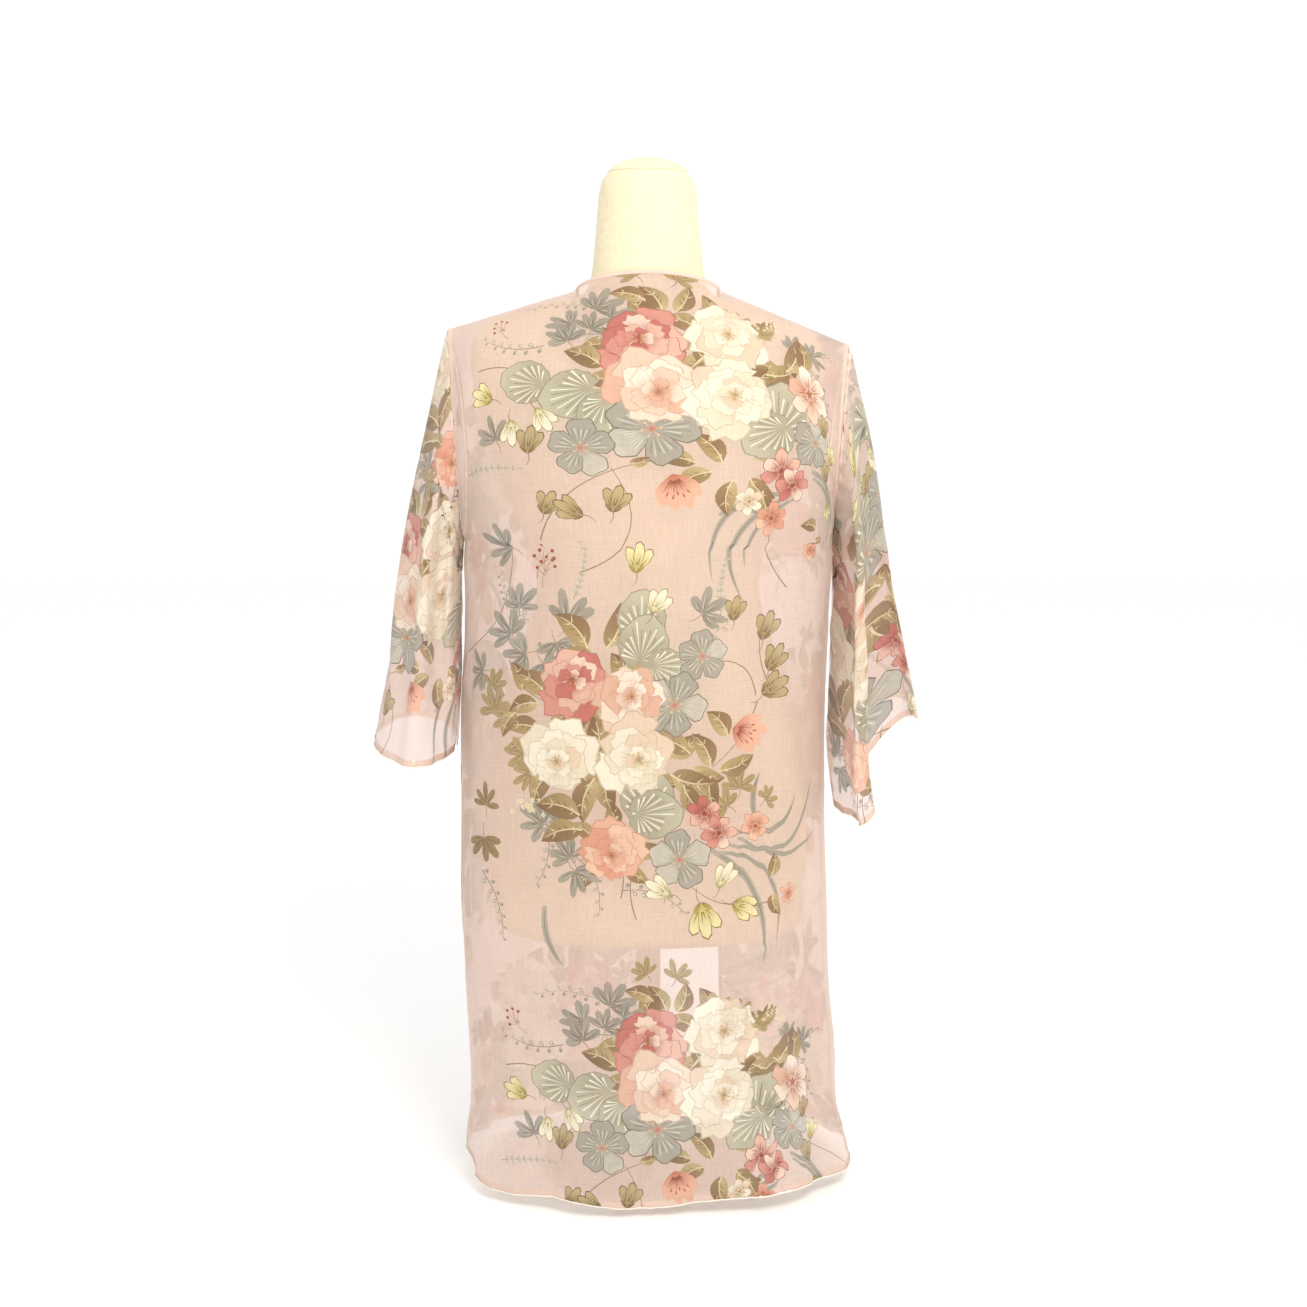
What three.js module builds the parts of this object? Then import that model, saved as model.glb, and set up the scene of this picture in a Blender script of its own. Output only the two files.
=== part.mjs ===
// A sheer open-front kimono jacket, worn by a limbless dress form on a short stand.
// Millimetres, +Z up. The origin is the middle of the stand's underside, the garment's back
// faces -Y and its open front faces +Y. The wearer's left is -X.
import * as THREE from "three";

// Driving sizes
const WALL = 1.2; // cloth wall
const SEAM_GAP = 0.3; // between pieces that are sewn together
const NECK_HALF = 72; // from the middle to the neck end of a shoulder seam
const NECK_POINT = new THREE.Vector3(NECK_HALF, 4, 889.5);
const NAPE_BACK = 57; // how far the neckline runs back from the neck points
const NAPE_RISE = 14; // how far the nape is above the neck points
const UNDERARM_Z = 650;
const HEM_Z = 16;
const LOOP_POWER = 2.5; // roundness of the body's level sections, 2 is an ellipse
const BINDING_WIDTH = 4;
const BINDING_WALL = 1.8;

// Numbers of rows and columns
const YOKE_ROWS = 11;
const SKIRT_ROWS = 15;
const BACK_COLUMNS = 28;
const FRONT_COLUMNS = 13;
const SLEEVE_ROWS = 12;
const SLEEVE_COLUMNS = 30;
const FORM_COLUMNS = 30;
const FINE_STEPS = 120;

// Where the sleeve is sewn in at the top of each shoulder
const SHOULDER_TIP = {
  left: new THREE.Vector3(-195, -4, 853),
  right: new THREE.Vector3(196, -4, 838),
};

// The cloth's level sections below the underarm: how far it reaches to each side
const BODY = [
  { z: 0, left: 186, right: 208, back: 134, front: 117 },
  { z: 30, left: 187, right: 202, back: 133, front: 117 },
  { z: 73, left: 183, right: 191, back: 131, front: 118 },
  { z: 137, left: 183, right: 187, back: 129, front: 119 },
  { z: 200, left: 186, right: 181, back: 127, front: 120 },
  { z: 304, left: 189, right: 178, back: 125, front: 121 },
  { z: 392, left: 188, right: 176, back: 124, front: 121 },
  { z: 487, left: 187, right: 176, back: 123, front: 120 },
  { z: 555, left: 182, right: 178, back: 122, front: 119 },
  { z: 650, left: 181, right: 182, back: 121, front: 117 },
  { z: 720, left: 181, right: 184, back: 121, front: 116 },
];

// Where each front edge hangs, from the middle
const FRONT_EDGE = [
  { z: 0, left: -6, right: 86 },
  { z: 120, left: -8, right: 82 },
  { z: 250, left: -12, right: 79 },
  { z: 400, left: -14, right: 77 },
  { z: 520, left: -19, right: 70 },
  { z: 650, left: -28, right: 60 },
  { z: 720, left: -33, right: 57 },
];

// Side seams, in degrees round from the middle of the back. The garment sits turned a little.
const SIDE_SEAM = { left: -87, right: 93 };

// Hanging folds: where, how wide, how far out (or in), and the heights where they start and are full
const BODY_FOLDS = [
  { angle: -74, spread: 15, out: -7, start: 640, full: 420 },
  { angle: -58, spread: 15, out: 4, start: 640, full: 300 },
  { angle: -30, spread: 16, out: -3.5, start: 420, full: 60 },
  { angle: -12, spread: 15, out: 3.5, start: 360, full: 30 },
  { angle: 10, spread: 16, out: -4, start: 300, full: 30 },
  { angle: 33, spread: 17, out: 4.5, start: 520, full: 60 },
  { angle: 56, spread: 15, out: -5, start: 620, full: 250 },
  { angle: 74, spread: 14, out: 5, start: 600, full: 120 },
  { angle: 108, spread: 15, out: -8, start: 560, full: 200 },
  { angle: 126, spread: 14, out: 5, start: 600, full: 200 },
  { angle: 144, spread: 12, out: -4, start: 500, full: 150 },
  { angle: -108, spread: 15, out: -8, start: 560, full: 200 },
  { angle: -128, spread: 15, out: 6, start: 600, full: 200 },
  { angle: -148, spread: 14, out: -5, start: 520, full: 150 },
  { angle: -166, spread: 12, out: 4, start: 420, full: 120 },
];

// Dips of the hem line
const HEM_DIPS = [
  { angle: -45, spread: 22, drop: 4 },
  { angle: -2, spread: 20, drop: 6 },
  { angle: 40, spread: 30, drop: -3 },
  { angle: 92, spread: 26, drop: -6 },
  { angle: -95, spread: 26, drop: -6 },
  { angle: 140, spread: 30, drop: 3 },
  { angle: -145, spread: 30, drop: 3 },
];
const HEM_DIP_HEIGHT = 110; // the dips fade out this far above the hem

// Guides for the cloth between its top edge and the underarm, by the share of the half width
// from the middle of the back: x is a distance from the middle, y is back (-) or front (+).
const BACK_GUIDES = [
  { share: 0, upX: 0, upY: -75, upZ: 852, lowX: 0, lowY: -121, lowZ: 780 },
  { share: 0.37, upX: 75, upY: -62, upZ: 884, lowX: 88, lowY: -121, lowZ: 796 },
  { share: 0.7, upX: 137, upY: -68, upZ: 864, lowX: 146, lowY: -117, lowZ: 784 },
  { share: 0.88, upX: 171, upY: -66, upZ: 844, lowX: 173, lowY: -106, lowZ: 755 },
  { share: 1, upX: 188, upY: -58, upZ: 800, lowX: 180, lowY: -88, lowZ: 705 },
];
// The same for a front, by the share of its width from the front edge
const FRONT_GUIDES = [
  { share: 0, upX: 72, upY: 58, upZ: 880, lowX: 44, lowY: 117, lowZ: 765 },
  { share: 0.5, upX: 132, upY: 62, upZ: 856, lowX: 118, lowY: 113, lowZ: 770 },
  { share: 0.8, upX: 170, upY: 58, upZ: 836, lowX: 168, lowY: 98, lowZ: 740 },
  { share: 1, upX: 188, upY: 48, upZ: 800, lowX: 180, lowY: 74, lowZ: 705 },
];
const HANG_SHARE = 0.5; // up to here the cloth comes down plumb on the underarm row
const LOW_TIP_Z = 838; // the guides are for this shoulder height, and rise with a higher one

// Sleeves: the cuff's ring, and long folds that push the cloth out (+) and forward (+)
const CUFF = {
  left: { x: -233.5, y: -3, out: 40, deep: 76, z: 446, outerRise: 4, backDrop: 12 },
  right: { x: 227, y: -5, out: 42, deep: 74, z: 432, outerRise: 38, backDrop: 33 },
};
const CUFF_FOLDS = {
  left: [],
  right: [
    { angle: 58, spread: 34, out: -30, forward: 0, lift: 0 },
    { angle: 30, spread: 30, out: 0, forward: 8, lift: 22 },
    { angle: 95, spread: 40, out: -5, forward: 0, lift: -16 },
  ],
};
const SLEEVE_FOLDS = {
  left: [
    { angle: 0, spread: 75, out: 9, forward: 0, start: 0, end: 0.75 },
    { angle: 122, spread: 30, out: 2, forward: 18, start: 0.08, end: 0.95 },
    { angle: 60, spread: 34, out: -5, forward: 7, start: 0.35, end: 1.3 },
    { angle: 245, spread: 32, out: -3, forward: -14, start: 0.15, end: 1.3 },
  ],
  right: [
    { angle: 0, spread: 60, out: 7, forward: 0, start: 0, end: 0.6 },
    { angle: 48, spread: 42, out: -9, forward: 36, start: 0.06, end: 1.6 },
    { angle: 98, spread: 26, out: -9, forward: -4, start: 0.1, end: 1.2 },
    { angle: 235, spread: 32, out: -4, forward: -14, start: 0.15, end: 1.3 },
  ],
};
const SLEEVE_LEAVE = 0.34; // how far a guide runs from the armhole, as a share of the length
const SLEEVE_ARRIVE = 0.3; // and from the cuff

// The dress form's level sections
const FORM = [
  { z: 259, half: 151, back: 100, front: 92, power: 2.2 },
  { z: 264, half: 155, back: 104, front: 95, power: 2.2 },
  { z: 305, half: 158, back: 108, front: 98, power: 2.2 },
  { z: 365, half: 160, back: 110, front: 100, power: 2.2 },
  { z: 430, half: 156, back: 109, front: 98, power: 2.2 },
  { z: 500, half: 142, back: 103, front: 92, power: 2.2 },
  { z: 556, half: 121, back: 95, front: 84, power: 2.2 },
  { z: 602, half: 110, back: 89, front: 80, power: 2.2 },
  { z: 642, half: 118, back: 91, front: 88, power: 2.2 },
  { z: 690, half: 139, back: 98, front: 103, power: 2.2 },
  { z: 728, half: 153, back: 103, front: 106, power: 2.2 },
  { z: 768, half: 164, back: 102, front: 92, power: 2.2 },
  { z: 806, half: 172, back: 86, front: 74, power: 2.2 },
  { z: 824, half: 173, back: 76, front: 62, power: 2.1 },
  { z: 842, half: 169, back: 66, front: 50, power: 1.9 },
  { z: 852.6, half: 159, back: 60, front: 46, power: 1.8 },
  { z: 863.1, half: 138, back: 54, front: 43, power: 1.7 },
  { z: 873.1, half: 111, back: 50, front: 40, power: 1.6 },
  { z: 880, half: 88, back: 49, front: 39, power: 1.6 },
  { z: 883, half: 74, back: 49, front: 41.5, power: 1.65 },
  { z: 887.5, half: 63, back: 48.5, front: 45.5, power: 1.8 },
  { z: 894, half: 58.5, back: 49, front: 50, power: 2 },
  { z: 907, half: 54.5, back: 48, front: 50.5, power: 2 },
  { z: 928, half: 52, back: 47.5, front: 50.5, power: 2 },
  { z: 957, half: 49.4, back: 47, front: 50, power: 2 },
  { z: 984, half: 46.8, back: 46, front: 48, power: 2 },
  { z: 995, half: 43.6, back: 43.5, front: 44.5, power: 2 },
  { z: 1002, half: 39, back: 39, front: 40, power: 2 },
];
// Its shoulders lean: higher on the wearer's left
const FORM_LEAN = { slope: 0.026, start: 760, full: 835, fade: 870, end: 890 };

const CAP = { radius: 40, z: 1002.3, rise: 14.5, lip: 1.5 };
const POLE_RADIUS = 12.5;
const BASE = { radius: 108, thickness: 9, chamfer: 2, bossRadius: 24, bossHeight: 12 };

const COLOURS = {
  cloth: 0xe6c9bf,
  binding: 0xe3b4a8,
  form: 0xece4d2,
  cap: 0xe9dfca,
  pole: 0xcfc9be,
  base: 0xd9d4ca,
};

const radians = THREE.MathUtils.degToRad;
const mix = THREE.MathUtils.lerp;

// A value from a table, smooth between its rows. key names the column that is looked up.
function smooth(table, key, column, at) {
  const last = table.length - 1;
  let i = 0;
  while (i < last - 1 && at > table[i + 1][key]) i++;
  const slope = (k) => {
    const a = table[Math.max(k - 1, 0)];
    const b = table[Math.min(k + 1, last)];
    return (b[column] - a[column]) / (b[key] - a[key]);
  };
  const step = table[i + 1][key] - table[i][key];
  const t = THREE.MathUtils.clamp((at - table[i][key]) / step, 0, 1);
  const t2 = t * t;
  const t3 = t2 * t;
  return (
    (2 * t3 - 3 * t2 + 1) * table[i][column] +
    (t3 - 2 * t2 + t) * step * slope(i) +
    (3 * t2 - 2 * t3) * table[i + 1][column] +
    (t3 - t2) * step * slope(i + 1)
  );
}

// 1 in the middle of a fold, 0 at its spread on either side
function bump(distance, spread) {
  const share = Math.abs(distance) / spread;
  return share >= 1 ? 0 : Math.cos((share * Math.PI) / 2) ** 2;
}

function between(value, none, all) {
  return THREE.MathUtils.smoothstep((value - none) / (all - none), 0, 1);
}

// How far the angle b is from the angle a, in degrees, the short way round
function turn(a, b) {
  return THREE.MathUtils.euclideanModulo(b - a + 180, 360) - 180;
}

// A point of a rounded level section. The angle is 0 at the middle of the back and grows
// towards +X, in degrees.
function sectionPoint(angle, left, right, back, front, power, z) {
  const s = Math.sin(radians(angle));
  const c = Math.cos(radians(angle));
  const x = Math.sign(s) * Math.abs(s) ** (2 / power) * (s < 0 ? left : right);
  const y = -Math.sign(c) * Math.abs(c) ** (2 / power) * (c < 0 ? front : back);
  return new THREE.Vector3(x, y, z);
}

// A point of the hanging cloth at a height, with its folds
function bodyPoint(angle, z) {
  const p = sectionPoint(
    angle,
    ...["left", "right", "back", "front"].map((side) => smooth(BODY, "z", side, z)),
    LOOP_POWER,
    z,
  );
  let out = 0;
  for (const f of BODY_FOLDS) {
    out += f.out * bump(turn(f.angle, angle), f.spread) * between(z, f.start, f.full);
  }
  p.x += out * Math.sin(radians(angle));
  p.y -= out * Math.cos(radians(angle));
  let drop = 0;
  for (const d of HEM_DIPS) drop += d.drop * bump(turn(d.angle, angle), d.spread);
  p.z -= drop * between(z, HEM_Z + HEM_DIP_HEIGHT, HEM_Z);
  return p;
}

// The angle where a front edge lies at a height
function frontEdgeAngle(side, z) {
  const x = smooth(FRONT_EDGE, "z", side, z);
  const half = smooth(BODY, "z", x < 0 ? "left" : "right", z);
  const angle = 180 - THREE.MathUtils.radToDeg(Math.asin((Math.abs(x) / half) ** (LOOP_POWER / 2)));
  return x < 0 ? -angle : angle;
}

// Points evenly spaced along a curve, with a set-back at each end
function evenly(curve, columns, setBack) {
  const fine = Array.from({ length: FINE_STEPS + 1 }, (_, k) => curve(k / FINE_STEPS));
  const run = [0];
  for (let k = 1; k < fine.length; k++) run.push(run[k - 1] + fine[k].distanceTo(fine[k - 1]));
  const total = run[FINE_STEPS];
  return Array.from({ length: columns + 1 }, (_, j) => {
    const want = mix(setBack, total - setBack, j / columns);
    let k = 1;
    while (k < FINE_STEPS && run[k] < want) k++;
    return fine[k - 1].clone().lerp(fine[k], (want - run[k - 1]) / (run[k] - run[k - 1]));
  });
}

// A level row of a panel below the underarm, between two angles
function skirtRow(from, to, z, columns) {
  return evenly((t) => bodyPoint(mix(from, to, t), z), columns, SEAM_GAP / 2);
}

const skirtHeights = Array.from({ length: SKIRT_ROWS + 1 }, (_, i) => {
  return mix(UNDERARM_Z, HEM_Z, (i / SKIRT_ROWS) ** 0.9);
});

// A point between a top point and a point of the underarm row, led by a row of a guide table
function guided(top, low, guides, share, side, t) {
  const sign = side === "left" ? -1 : 1;
  const lift = SHOULDER_TIP[side].z - LOW_TIP_Z;
  const raise = (column) => {
    const weight = guides === BACK_GUIDES ? share : between(share, 0, 1);
    return smooth(guides, "share", column, share) + lift * weight * (column === "upZ" ? 0.8 : 0.2);
  };
  const value = (column) => smooth(guides, "share", column, share);
  const up = new THREE.Vector3(sign * value("upX"), value("upY"), raise("upZ"));
  const hold = between(share, HANG_SHARE, 1);
  const down = new THREE.Vector3(
    mix(low.x, sign * value("lowX"), hold),
    mix(low.y, value("lowY"), hold),
    raise("lowZ"),
  );
  return new THREE.CubicBezierCurve3(top, up, down, low).getPoint(t);
}

function shoulderPoint(side, share) {
  const neck = NECK_POINT.clone();
  if (side === "left") neck.x = -neck.x;
  return neck.lerp(SHOULDER_TIP[side], share);
}

// The back's top edge: a shoulder seam, the neckline round the nape, the other shoulder seam
function backTop(u) {
  const side = u < 0 ? "left" : "right";
  const neckShare = NECK_HALF / SHOULDER_TIP.right.x;
  const share = Math.abs(u);
  if (share >= neckShare) {
    const p = shoulderPoint(side, (share - neckShare) / (1 - neckShare));
    p.y -= SEAM_GAP / 2;
    return p;
  }
  const angle = (u / neckShare) * (Math.PI / 2);
  return new THREE.Vector3(
    NECK_HALF * Math.sin(angle),
    NECK_POINT.y - SEAM_GAP / 2 - NAPE_BACK * Math.cos(angle),
    NECK_POINT.z + NAPE_RISE * Math.cos(angle) ** 1.4,
  );
}

function backRows() {
  const low = skirtRow(SIDE_SEAM.left, SIDE_SEAM.right, UNDERARM_Z, BACK_COLUMNS);
  const rows = [];
  for (let i = 0; i < YOKE_ROWS; i++) {
    rows.push(
      low.map((p, j) => {
        const u = (2 * j) / BACK_COLUMNS - 1;
        const side = u < 0 ? "left" : "right";
        return guided(backTop(u), p, BACK_GUIDES, Math.abs(u), side, i / YOKE_ROWS);
      }),
    );
  }
  for (const z of skirtHeights) {
    rows.push(skirtRow(SIDE_SEAM.left, SIDE_SEAM.right, z, BACK_COLUMNS));
  }
  return rows;
}

// A front's rows, from the edge on the wearer's right to the one on the left as seen from outside
function frontRows(side) {
  const row = (z) => {
    const edge = frontEdgeAngle(side, z);
    return side === "left"
      ? skirtRow(edge, SIDE_SEAM.left, z, FRONT_COLUMNS)
      : skirtRow(SIDE_SEAM.right, edge, z, FRONT_COLUMNS);
  };
  const low = row(UNDERARM_Z);
  const rows = [];
  for (let i = 0; i < YOKE_ROWS; i++) {
    rows.push(
      low.map((p, j) => {
        const share = side === "left" ? j / FRONT_COLUMNS : 1 - j / FRONT_COLUMNS;
        const top = shoulderPoint(side, share);
        top.y += SEAM_GAP / 2;
        return guided(top, p, FRONT_GUIDES, share, side, i / YOKE_ROWS);
      }),
    );
  }
  for (const z of skirtHeights) rows.push(row(z));
  return rows;
}

// The armhole: angle 0 at the shoulder, 90 at the back, 180 at the underarm, 270 in front
function armholePoint(side, angle, back, front) {
  const t = angle <= 180 ? angle / 180 : (360 - angle) / 180;
  const rows = angle <= 180 ? back : front;
  const edge = rows.slice(0, YOKE_ROWS + 1).map((row) => {
    const first = angle <= 180 ? side === "left" : side !== "left";
    return first ? row[0] : row[row.length - 1];
  });
  const at = t * YOKE_ROWS;
  const i = Math.min(Math.floor(at), YOKE_ROWS - 1);
  return edge[i].clone().lerp(edge[i + 1], at - i);
}

function cuffPoint(side, angle) {
  const c = CUFF[side];
  const sign = side === "left" ? -1 : 1;
  const cos = Math.cos(radians(angle));
  const sin = Math.sin(radians(angle));
  const point = new THREE.Vector3(
    c.x + sign * c.out * cos,
    c.y - c.deep * sin,
    c.z + c.outerRise * cos - c.backDrop * sin,
  );
  for (const f of CUFF_FOLDS[side]) {
    const size = bump(turn(f.angle, angle), f.spread);
    point.x += sign * f.out * size;
    point.y += f.forward * size;
    point.z += f.lift * size;
  }
  return point;
}

function sleeveRows(side, back, front) {
  const sign = side === "left" ? -1 : 1;
  const rows = [];
  for (let i = 0; i <= SLEEVE_ROWS; i++) {
    const t = i / SLEEVE_ROWS;
    const row = [];
    for (let j = 0; j < SLEEVE_COLUMNS; j++) {
      const angle = (360 * j) / SLEEVE_COLUMNS;
      const sin = Math.sin(radians(angle));
      const top = armholePoint(side, angle, back, front);
      top.x += sign * 2 * SEAM_GAP;
      const cuff = cuffPoint(side, angle);
      const length = top.distanceTo(cuff);
      const leave = new THREE.Vector3(sign * (0.12 + 0.26 * Math.abs(sin)), -0.14 * sin, -1);
      const axis = new THREE.Vector3(SHOULDER_TIP[side].x - cuffPoint(side, 0).x, 0, 400);
      const p = new THREE.CubicBezierCurve3(
        top,
        top.clone().addScaledVector(leave.normalize(), length * SLEEVE_LEAVE),
        cuff.clone().addScaledVector(axis.normalize(), length * SLEEVE_ARRIVE),
        cuff,
      ).getPoint(t);
      for (const f of SLEEVE_FOLDS[side]) {
        const share = THREE.MathUtils.clamp((t - f.start) / (f.end - f.start), 0, 1);
        const size = bump(turn(f.angle, angle), f.spread) * Math.sin(Math.PI * share) ** 0.7;
        p.x += sign * f.out * size;
        p.y += f.forward * size;
      }
      row.push(p);
    }
    rows.push(side === "left" ? row : [row[0], ...row.slice(1).reverse()]);
  }
  return rows;
}

// The outward direction at each point of rows that run down, left to right seen from outside
function outward(rows, closed) {
  return rows.map((row, i) =>
    row.map((_, j) => {
      const n = row.length;
      const before = closed ? row[(j + n - 1) % n] : row[Math.max(j - 1, 0)];
      const after = closed ? row[(j + 1) % n] : row[Math.min(j + 1, n - 1)];
      const above = rows[Math.max(i - 1, 0)][j];
      const below = rows[Math.min(i + 1, rows.length - 1)][j];
      const across = after.clone().sub(before);
      return below.clone().sub(above).cross(across).normalize();
    }),
  );
}

// The same for a panel of the body, whose edges stay in the planes of their seams
function panelOutward(rows) {
  const normals = outward(rows, false);
  rows[0].forEach((p, j) => {
    if (Math.abs(p.x) > NECK_HALF - 1) normals[0][j].setY(0).normalize();
  });
  for (let i = YOKE_ROWS; i < rows.length; i++) {
    for (const [j, p] of [[0, rows[i][0]], [rows[i].length - 1, rows[i].at(-1)]]) {
      if (Math.abs(p.x) > 120) normals[i][j].set(Math.sign(p.x), 0, 0);
    }
  }
  return normals;
}

// The same for a sleeve, whose top edge stays in the plane of the armhole
function sleeveOutward(rows) {
  const normals = outward(rows, true);
  const middle = rows[0].reduce((sum, p) => sum.add(p), new THREE.Vector3());
  middle.divideScalar(rows[0].length);
  rows[0].forEach((p, j) => normals[0][j].copy(p).sub(middle).setX(0).normalize());
  return normals;
}

// A closed cloth wall: the rows are its outside, and the inside lies a wall's thickness in
function clothWall(rows, closed, normals = outward(rows, closed), thickness = WALL) {
  const columns = rows[0].length;
  const outside = rows.flat();
  const inside = outside.map((p, k) => p.clone().addScaledVector(normals.flat()[k], -thickness));
  const count = outside.length;
  const faces = [];
  const quad = (a, b, c, d) => faces.push(a, b, c, a, c, d);
  const lastColumn = closed ? columns : columns - 1;
  for (let i = 0; i < rows.length - 1; i++) {
    for (let j = 0; j < lastColumn; j++) {
      const a = i * columns + j;
      const b = i * columns + ((j + 1) % columns);
      const c = b + columns;
      const d = a + columns;
      quad(a, d, c, b);
      quad(count + a, count + b, count + c, count + d);
      if (i === 0) quad(a, b, count + b, count + a);
      if (i === rows.length - 2) quad(c, d, count + d, count + c);
      if (!closed && j === 0) quad(d, a, count + a, count + d);
      if (!closed && j === lastColumn - 1) quad(b, c, count + c, count + b);
    }
  }
  return meshGeometry([...outside, ...inside], faces);
}

function meshGeometry(points, faces) {
  const geometry = new THREE.BufferGeometry().setFromPoints(points);
  geometry.setIndex(faces);
  geometry.computeVertexNormals();
  return geometry;
}

// A solid through level rings, closed by a fan at each end
function ringSolid(rings) {
  const columns = rings[0].length;
  const points = rings.flat();
  const middle = (ring) => {
    const sum = ring.reduce((s, p) => s.add(p), new THREE.Vector3());
    return sum.divideScalar(columns);
  };
  const bottom = points.push(middle(rings[0])) - 1;
  const top = points.push(middle(rings.at(-1))) - 1;
  const faces = [];
  for (let j = 0; j < columns; j++) {
    const next = (j + 1) % columns;
    for (let i = 0; i < rings.length - 1; i++) {
      const a = i * columns + j;
      const b = i * columns + next;
      faces.push(a, b, b + columns, a, b + columns, a + columns);
    }
    const last = (rings.length - 1) * columns;
    faces.push(bottom, next, j);
    faces.push(top, last + j, last + next);
  }
  return meshGeometry(points, faces);
}

function formGeometry() {
  const { slope, start, full, fade, end } = FORM_LEAN;
  const rings = FORM.map(({ z, half, back, front, power }) =>
    Array.from({ length: FORM_COLUMNS }, (_, j) => {
      const p = sectionPoint((360 * j) / FORM_COLUMNS, half, half, back, front, power, z);
      p.z -= slope * p.x * between(z, start, full) * between(z, end, fade);
      return p;
    }),
  );
  return ringSolid(rings);
}

// A turned solid round the vertical axis, from its profile of radius and height
function turned(profile, segments = 36) {
  const points = profile.map(([r, z]) => new THREE.Vector2(r, z));
  return new THREE.LatheGeometry(points, segments).rotateX(Math.PI / 2);
}

function capGeometry() {
  const { radius, z, rise, lip } = CAP;
  const dome = Array.from({ length: 7 }, (_, k) => {
    const angle = (k / 6) * (Math.PI / 2);
    return [radius * Math.cos(angle), z + lip + (rise - lip) * Math.sin(angle)];
  });
  dome[6][0] = 0;
  return turned([[0, z], [radius, z], ...dome]);
}

function baseGeometry() {
  const { radius, thickness, chamfer, bossRadius, bossHeight } = BASE;
  return turned([
    [0, 0],
    [radius, 0],
    [radius, thickness - chamfer],
    [radius - chamfer, thickness],
    [bossRadius, thickness],
    [bossRadius, bossHeight],
    [0, bossHeight],
  ]);
}

function poleGeometry() {
  const low = BASE.bossHeight + SEAM_GAP;
  const high = FORM[0].z - SEAM_GAP;
  return turned([
    [0, low],
    [POLE_RADIUS, low],
    [POLE_RADIUS, high],
    [0, high],
  ]);
}

// The narrow binding along both front edges and round the back of the neck, in one strip
function bindingRows(back, left, right) {
  const path = [];
  const add = (rows, normals, i, j) => path.push({ p: rows[i][j], out: normals[i][j] });
  const leftOut = outward(left, false);
  const backOut = outward(back, false);
  const rightOut = outward(right, false);
  for (let i = left.length - 1; i > 0; i--) add(left, leftOut, i, 0);
  back[0].forEach((p, j) => {
    if (Math.abs(p.x) < NECK_HALF - 2 && p.y < NECK_POINT.y - 1) add(back, backOut, 0, j);
  });
  for (let i = 1; i < right.length; i++) add(right, rightOut, i, FRONT_COLUMNS);
  const near = [];
  const far = [];
  path.forEach(({ p, out }, k) => {
    const before = path[Math.max(k - 1, 0)].p;
    const after = path[Math.min(k + 1, path.length - 1)].p;
    const away = after.clone().sub(before).cross(out).normalize();
    far.push(p.clone().addScaledVector(away, -SEAM_GAP - BINDING_WIDTH));
    near.push(p.clone().addScaledVector(away, -SEAM_GAP));
  });
  return [far, near];
}

function part() {
  const group = new THREE.Group();
  const add = (name, geometry, color, roughness = 0.9, metalness = 0) => {
    const material = new THREE.MeshStandardMaterial({ color, roughness, metalness });
    const mesh = new THREE.Mesh(geometry, material);
    mesh.name = name;
    group.add(mesh);
  };
  const back = backRows();
  const frontLeft = frontRows("left");
  const frontRight = frontRows("right");
  add("stand_base", baseGeometry(), COLOURS.base, 0.5);
  add("stand_pole", poleGeometry(), COLOURS.pole, 0.35, 0.4);
  add("form_torso", formGeometry(), COLOURS.form);
  add("form_neck_cap", capGeometry(), COLOURS.cap);
  const sleeveLeft = sleeveRows("left", back, frontLeft);
  const sleeveRight = sleeveRows("right", back, frontRight);
  add("back", clothWall(back, false, panelOutward(back)), COLOURS.cloth);
  add("front_left", clothWall(frontLeft, false, panelOutward(frontLeft)), COLOURS.cloth);
  add("front_right", clothWall(frontRight, false, panelOutward(frontRight)), COLOURS.cloth);
  add("sleeve_left", clothWall(sleeveLeft, true, sleeveOutward(sleeveLeft)), COLOURS.cloth);
  add("sleeve_right", clothWall(sleeveRight, true, sleeveOutward(sleeveRight)), COLOURS.cloth);
  const binding = bindingRows(back, frontLeft, frontRight);
  const bindingOut = outward(binding, false);
  add("neck_binding", clothWall(binding, false, bindingOut, BINDING_WALL), COLOURS.binding);
  return group;
}

export default part();
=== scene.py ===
"""A sheer, flower-printed, open kimono jacket on a cream limbless dress form, from behind.

Sizes are in millimetres and are turned into metres when a mesh is made. The cloth hangs on the
same sections as the solids. The print is drawn as flat shapes on each piece's cutting plan and
laid on its hanging form.
"""

import math
import random

import bpy
import numpy as np
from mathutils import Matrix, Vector
from mathutils.geometry import delaunay_2d_cdt


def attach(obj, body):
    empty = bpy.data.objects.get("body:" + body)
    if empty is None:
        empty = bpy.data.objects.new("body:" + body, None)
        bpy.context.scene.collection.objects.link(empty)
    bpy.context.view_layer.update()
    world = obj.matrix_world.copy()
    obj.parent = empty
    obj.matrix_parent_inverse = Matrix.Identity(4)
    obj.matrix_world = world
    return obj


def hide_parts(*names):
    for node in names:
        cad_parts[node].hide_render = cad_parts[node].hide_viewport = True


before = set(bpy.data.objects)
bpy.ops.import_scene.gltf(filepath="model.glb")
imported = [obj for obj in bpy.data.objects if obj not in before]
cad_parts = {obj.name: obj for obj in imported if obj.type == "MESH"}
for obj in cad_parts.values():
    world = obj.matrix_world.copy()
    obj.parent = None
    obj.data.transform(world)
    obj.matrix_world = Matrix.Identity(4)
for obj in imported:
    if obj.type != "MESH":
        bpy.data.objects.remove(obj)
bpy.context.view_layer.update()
PI = math.pi

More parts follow.
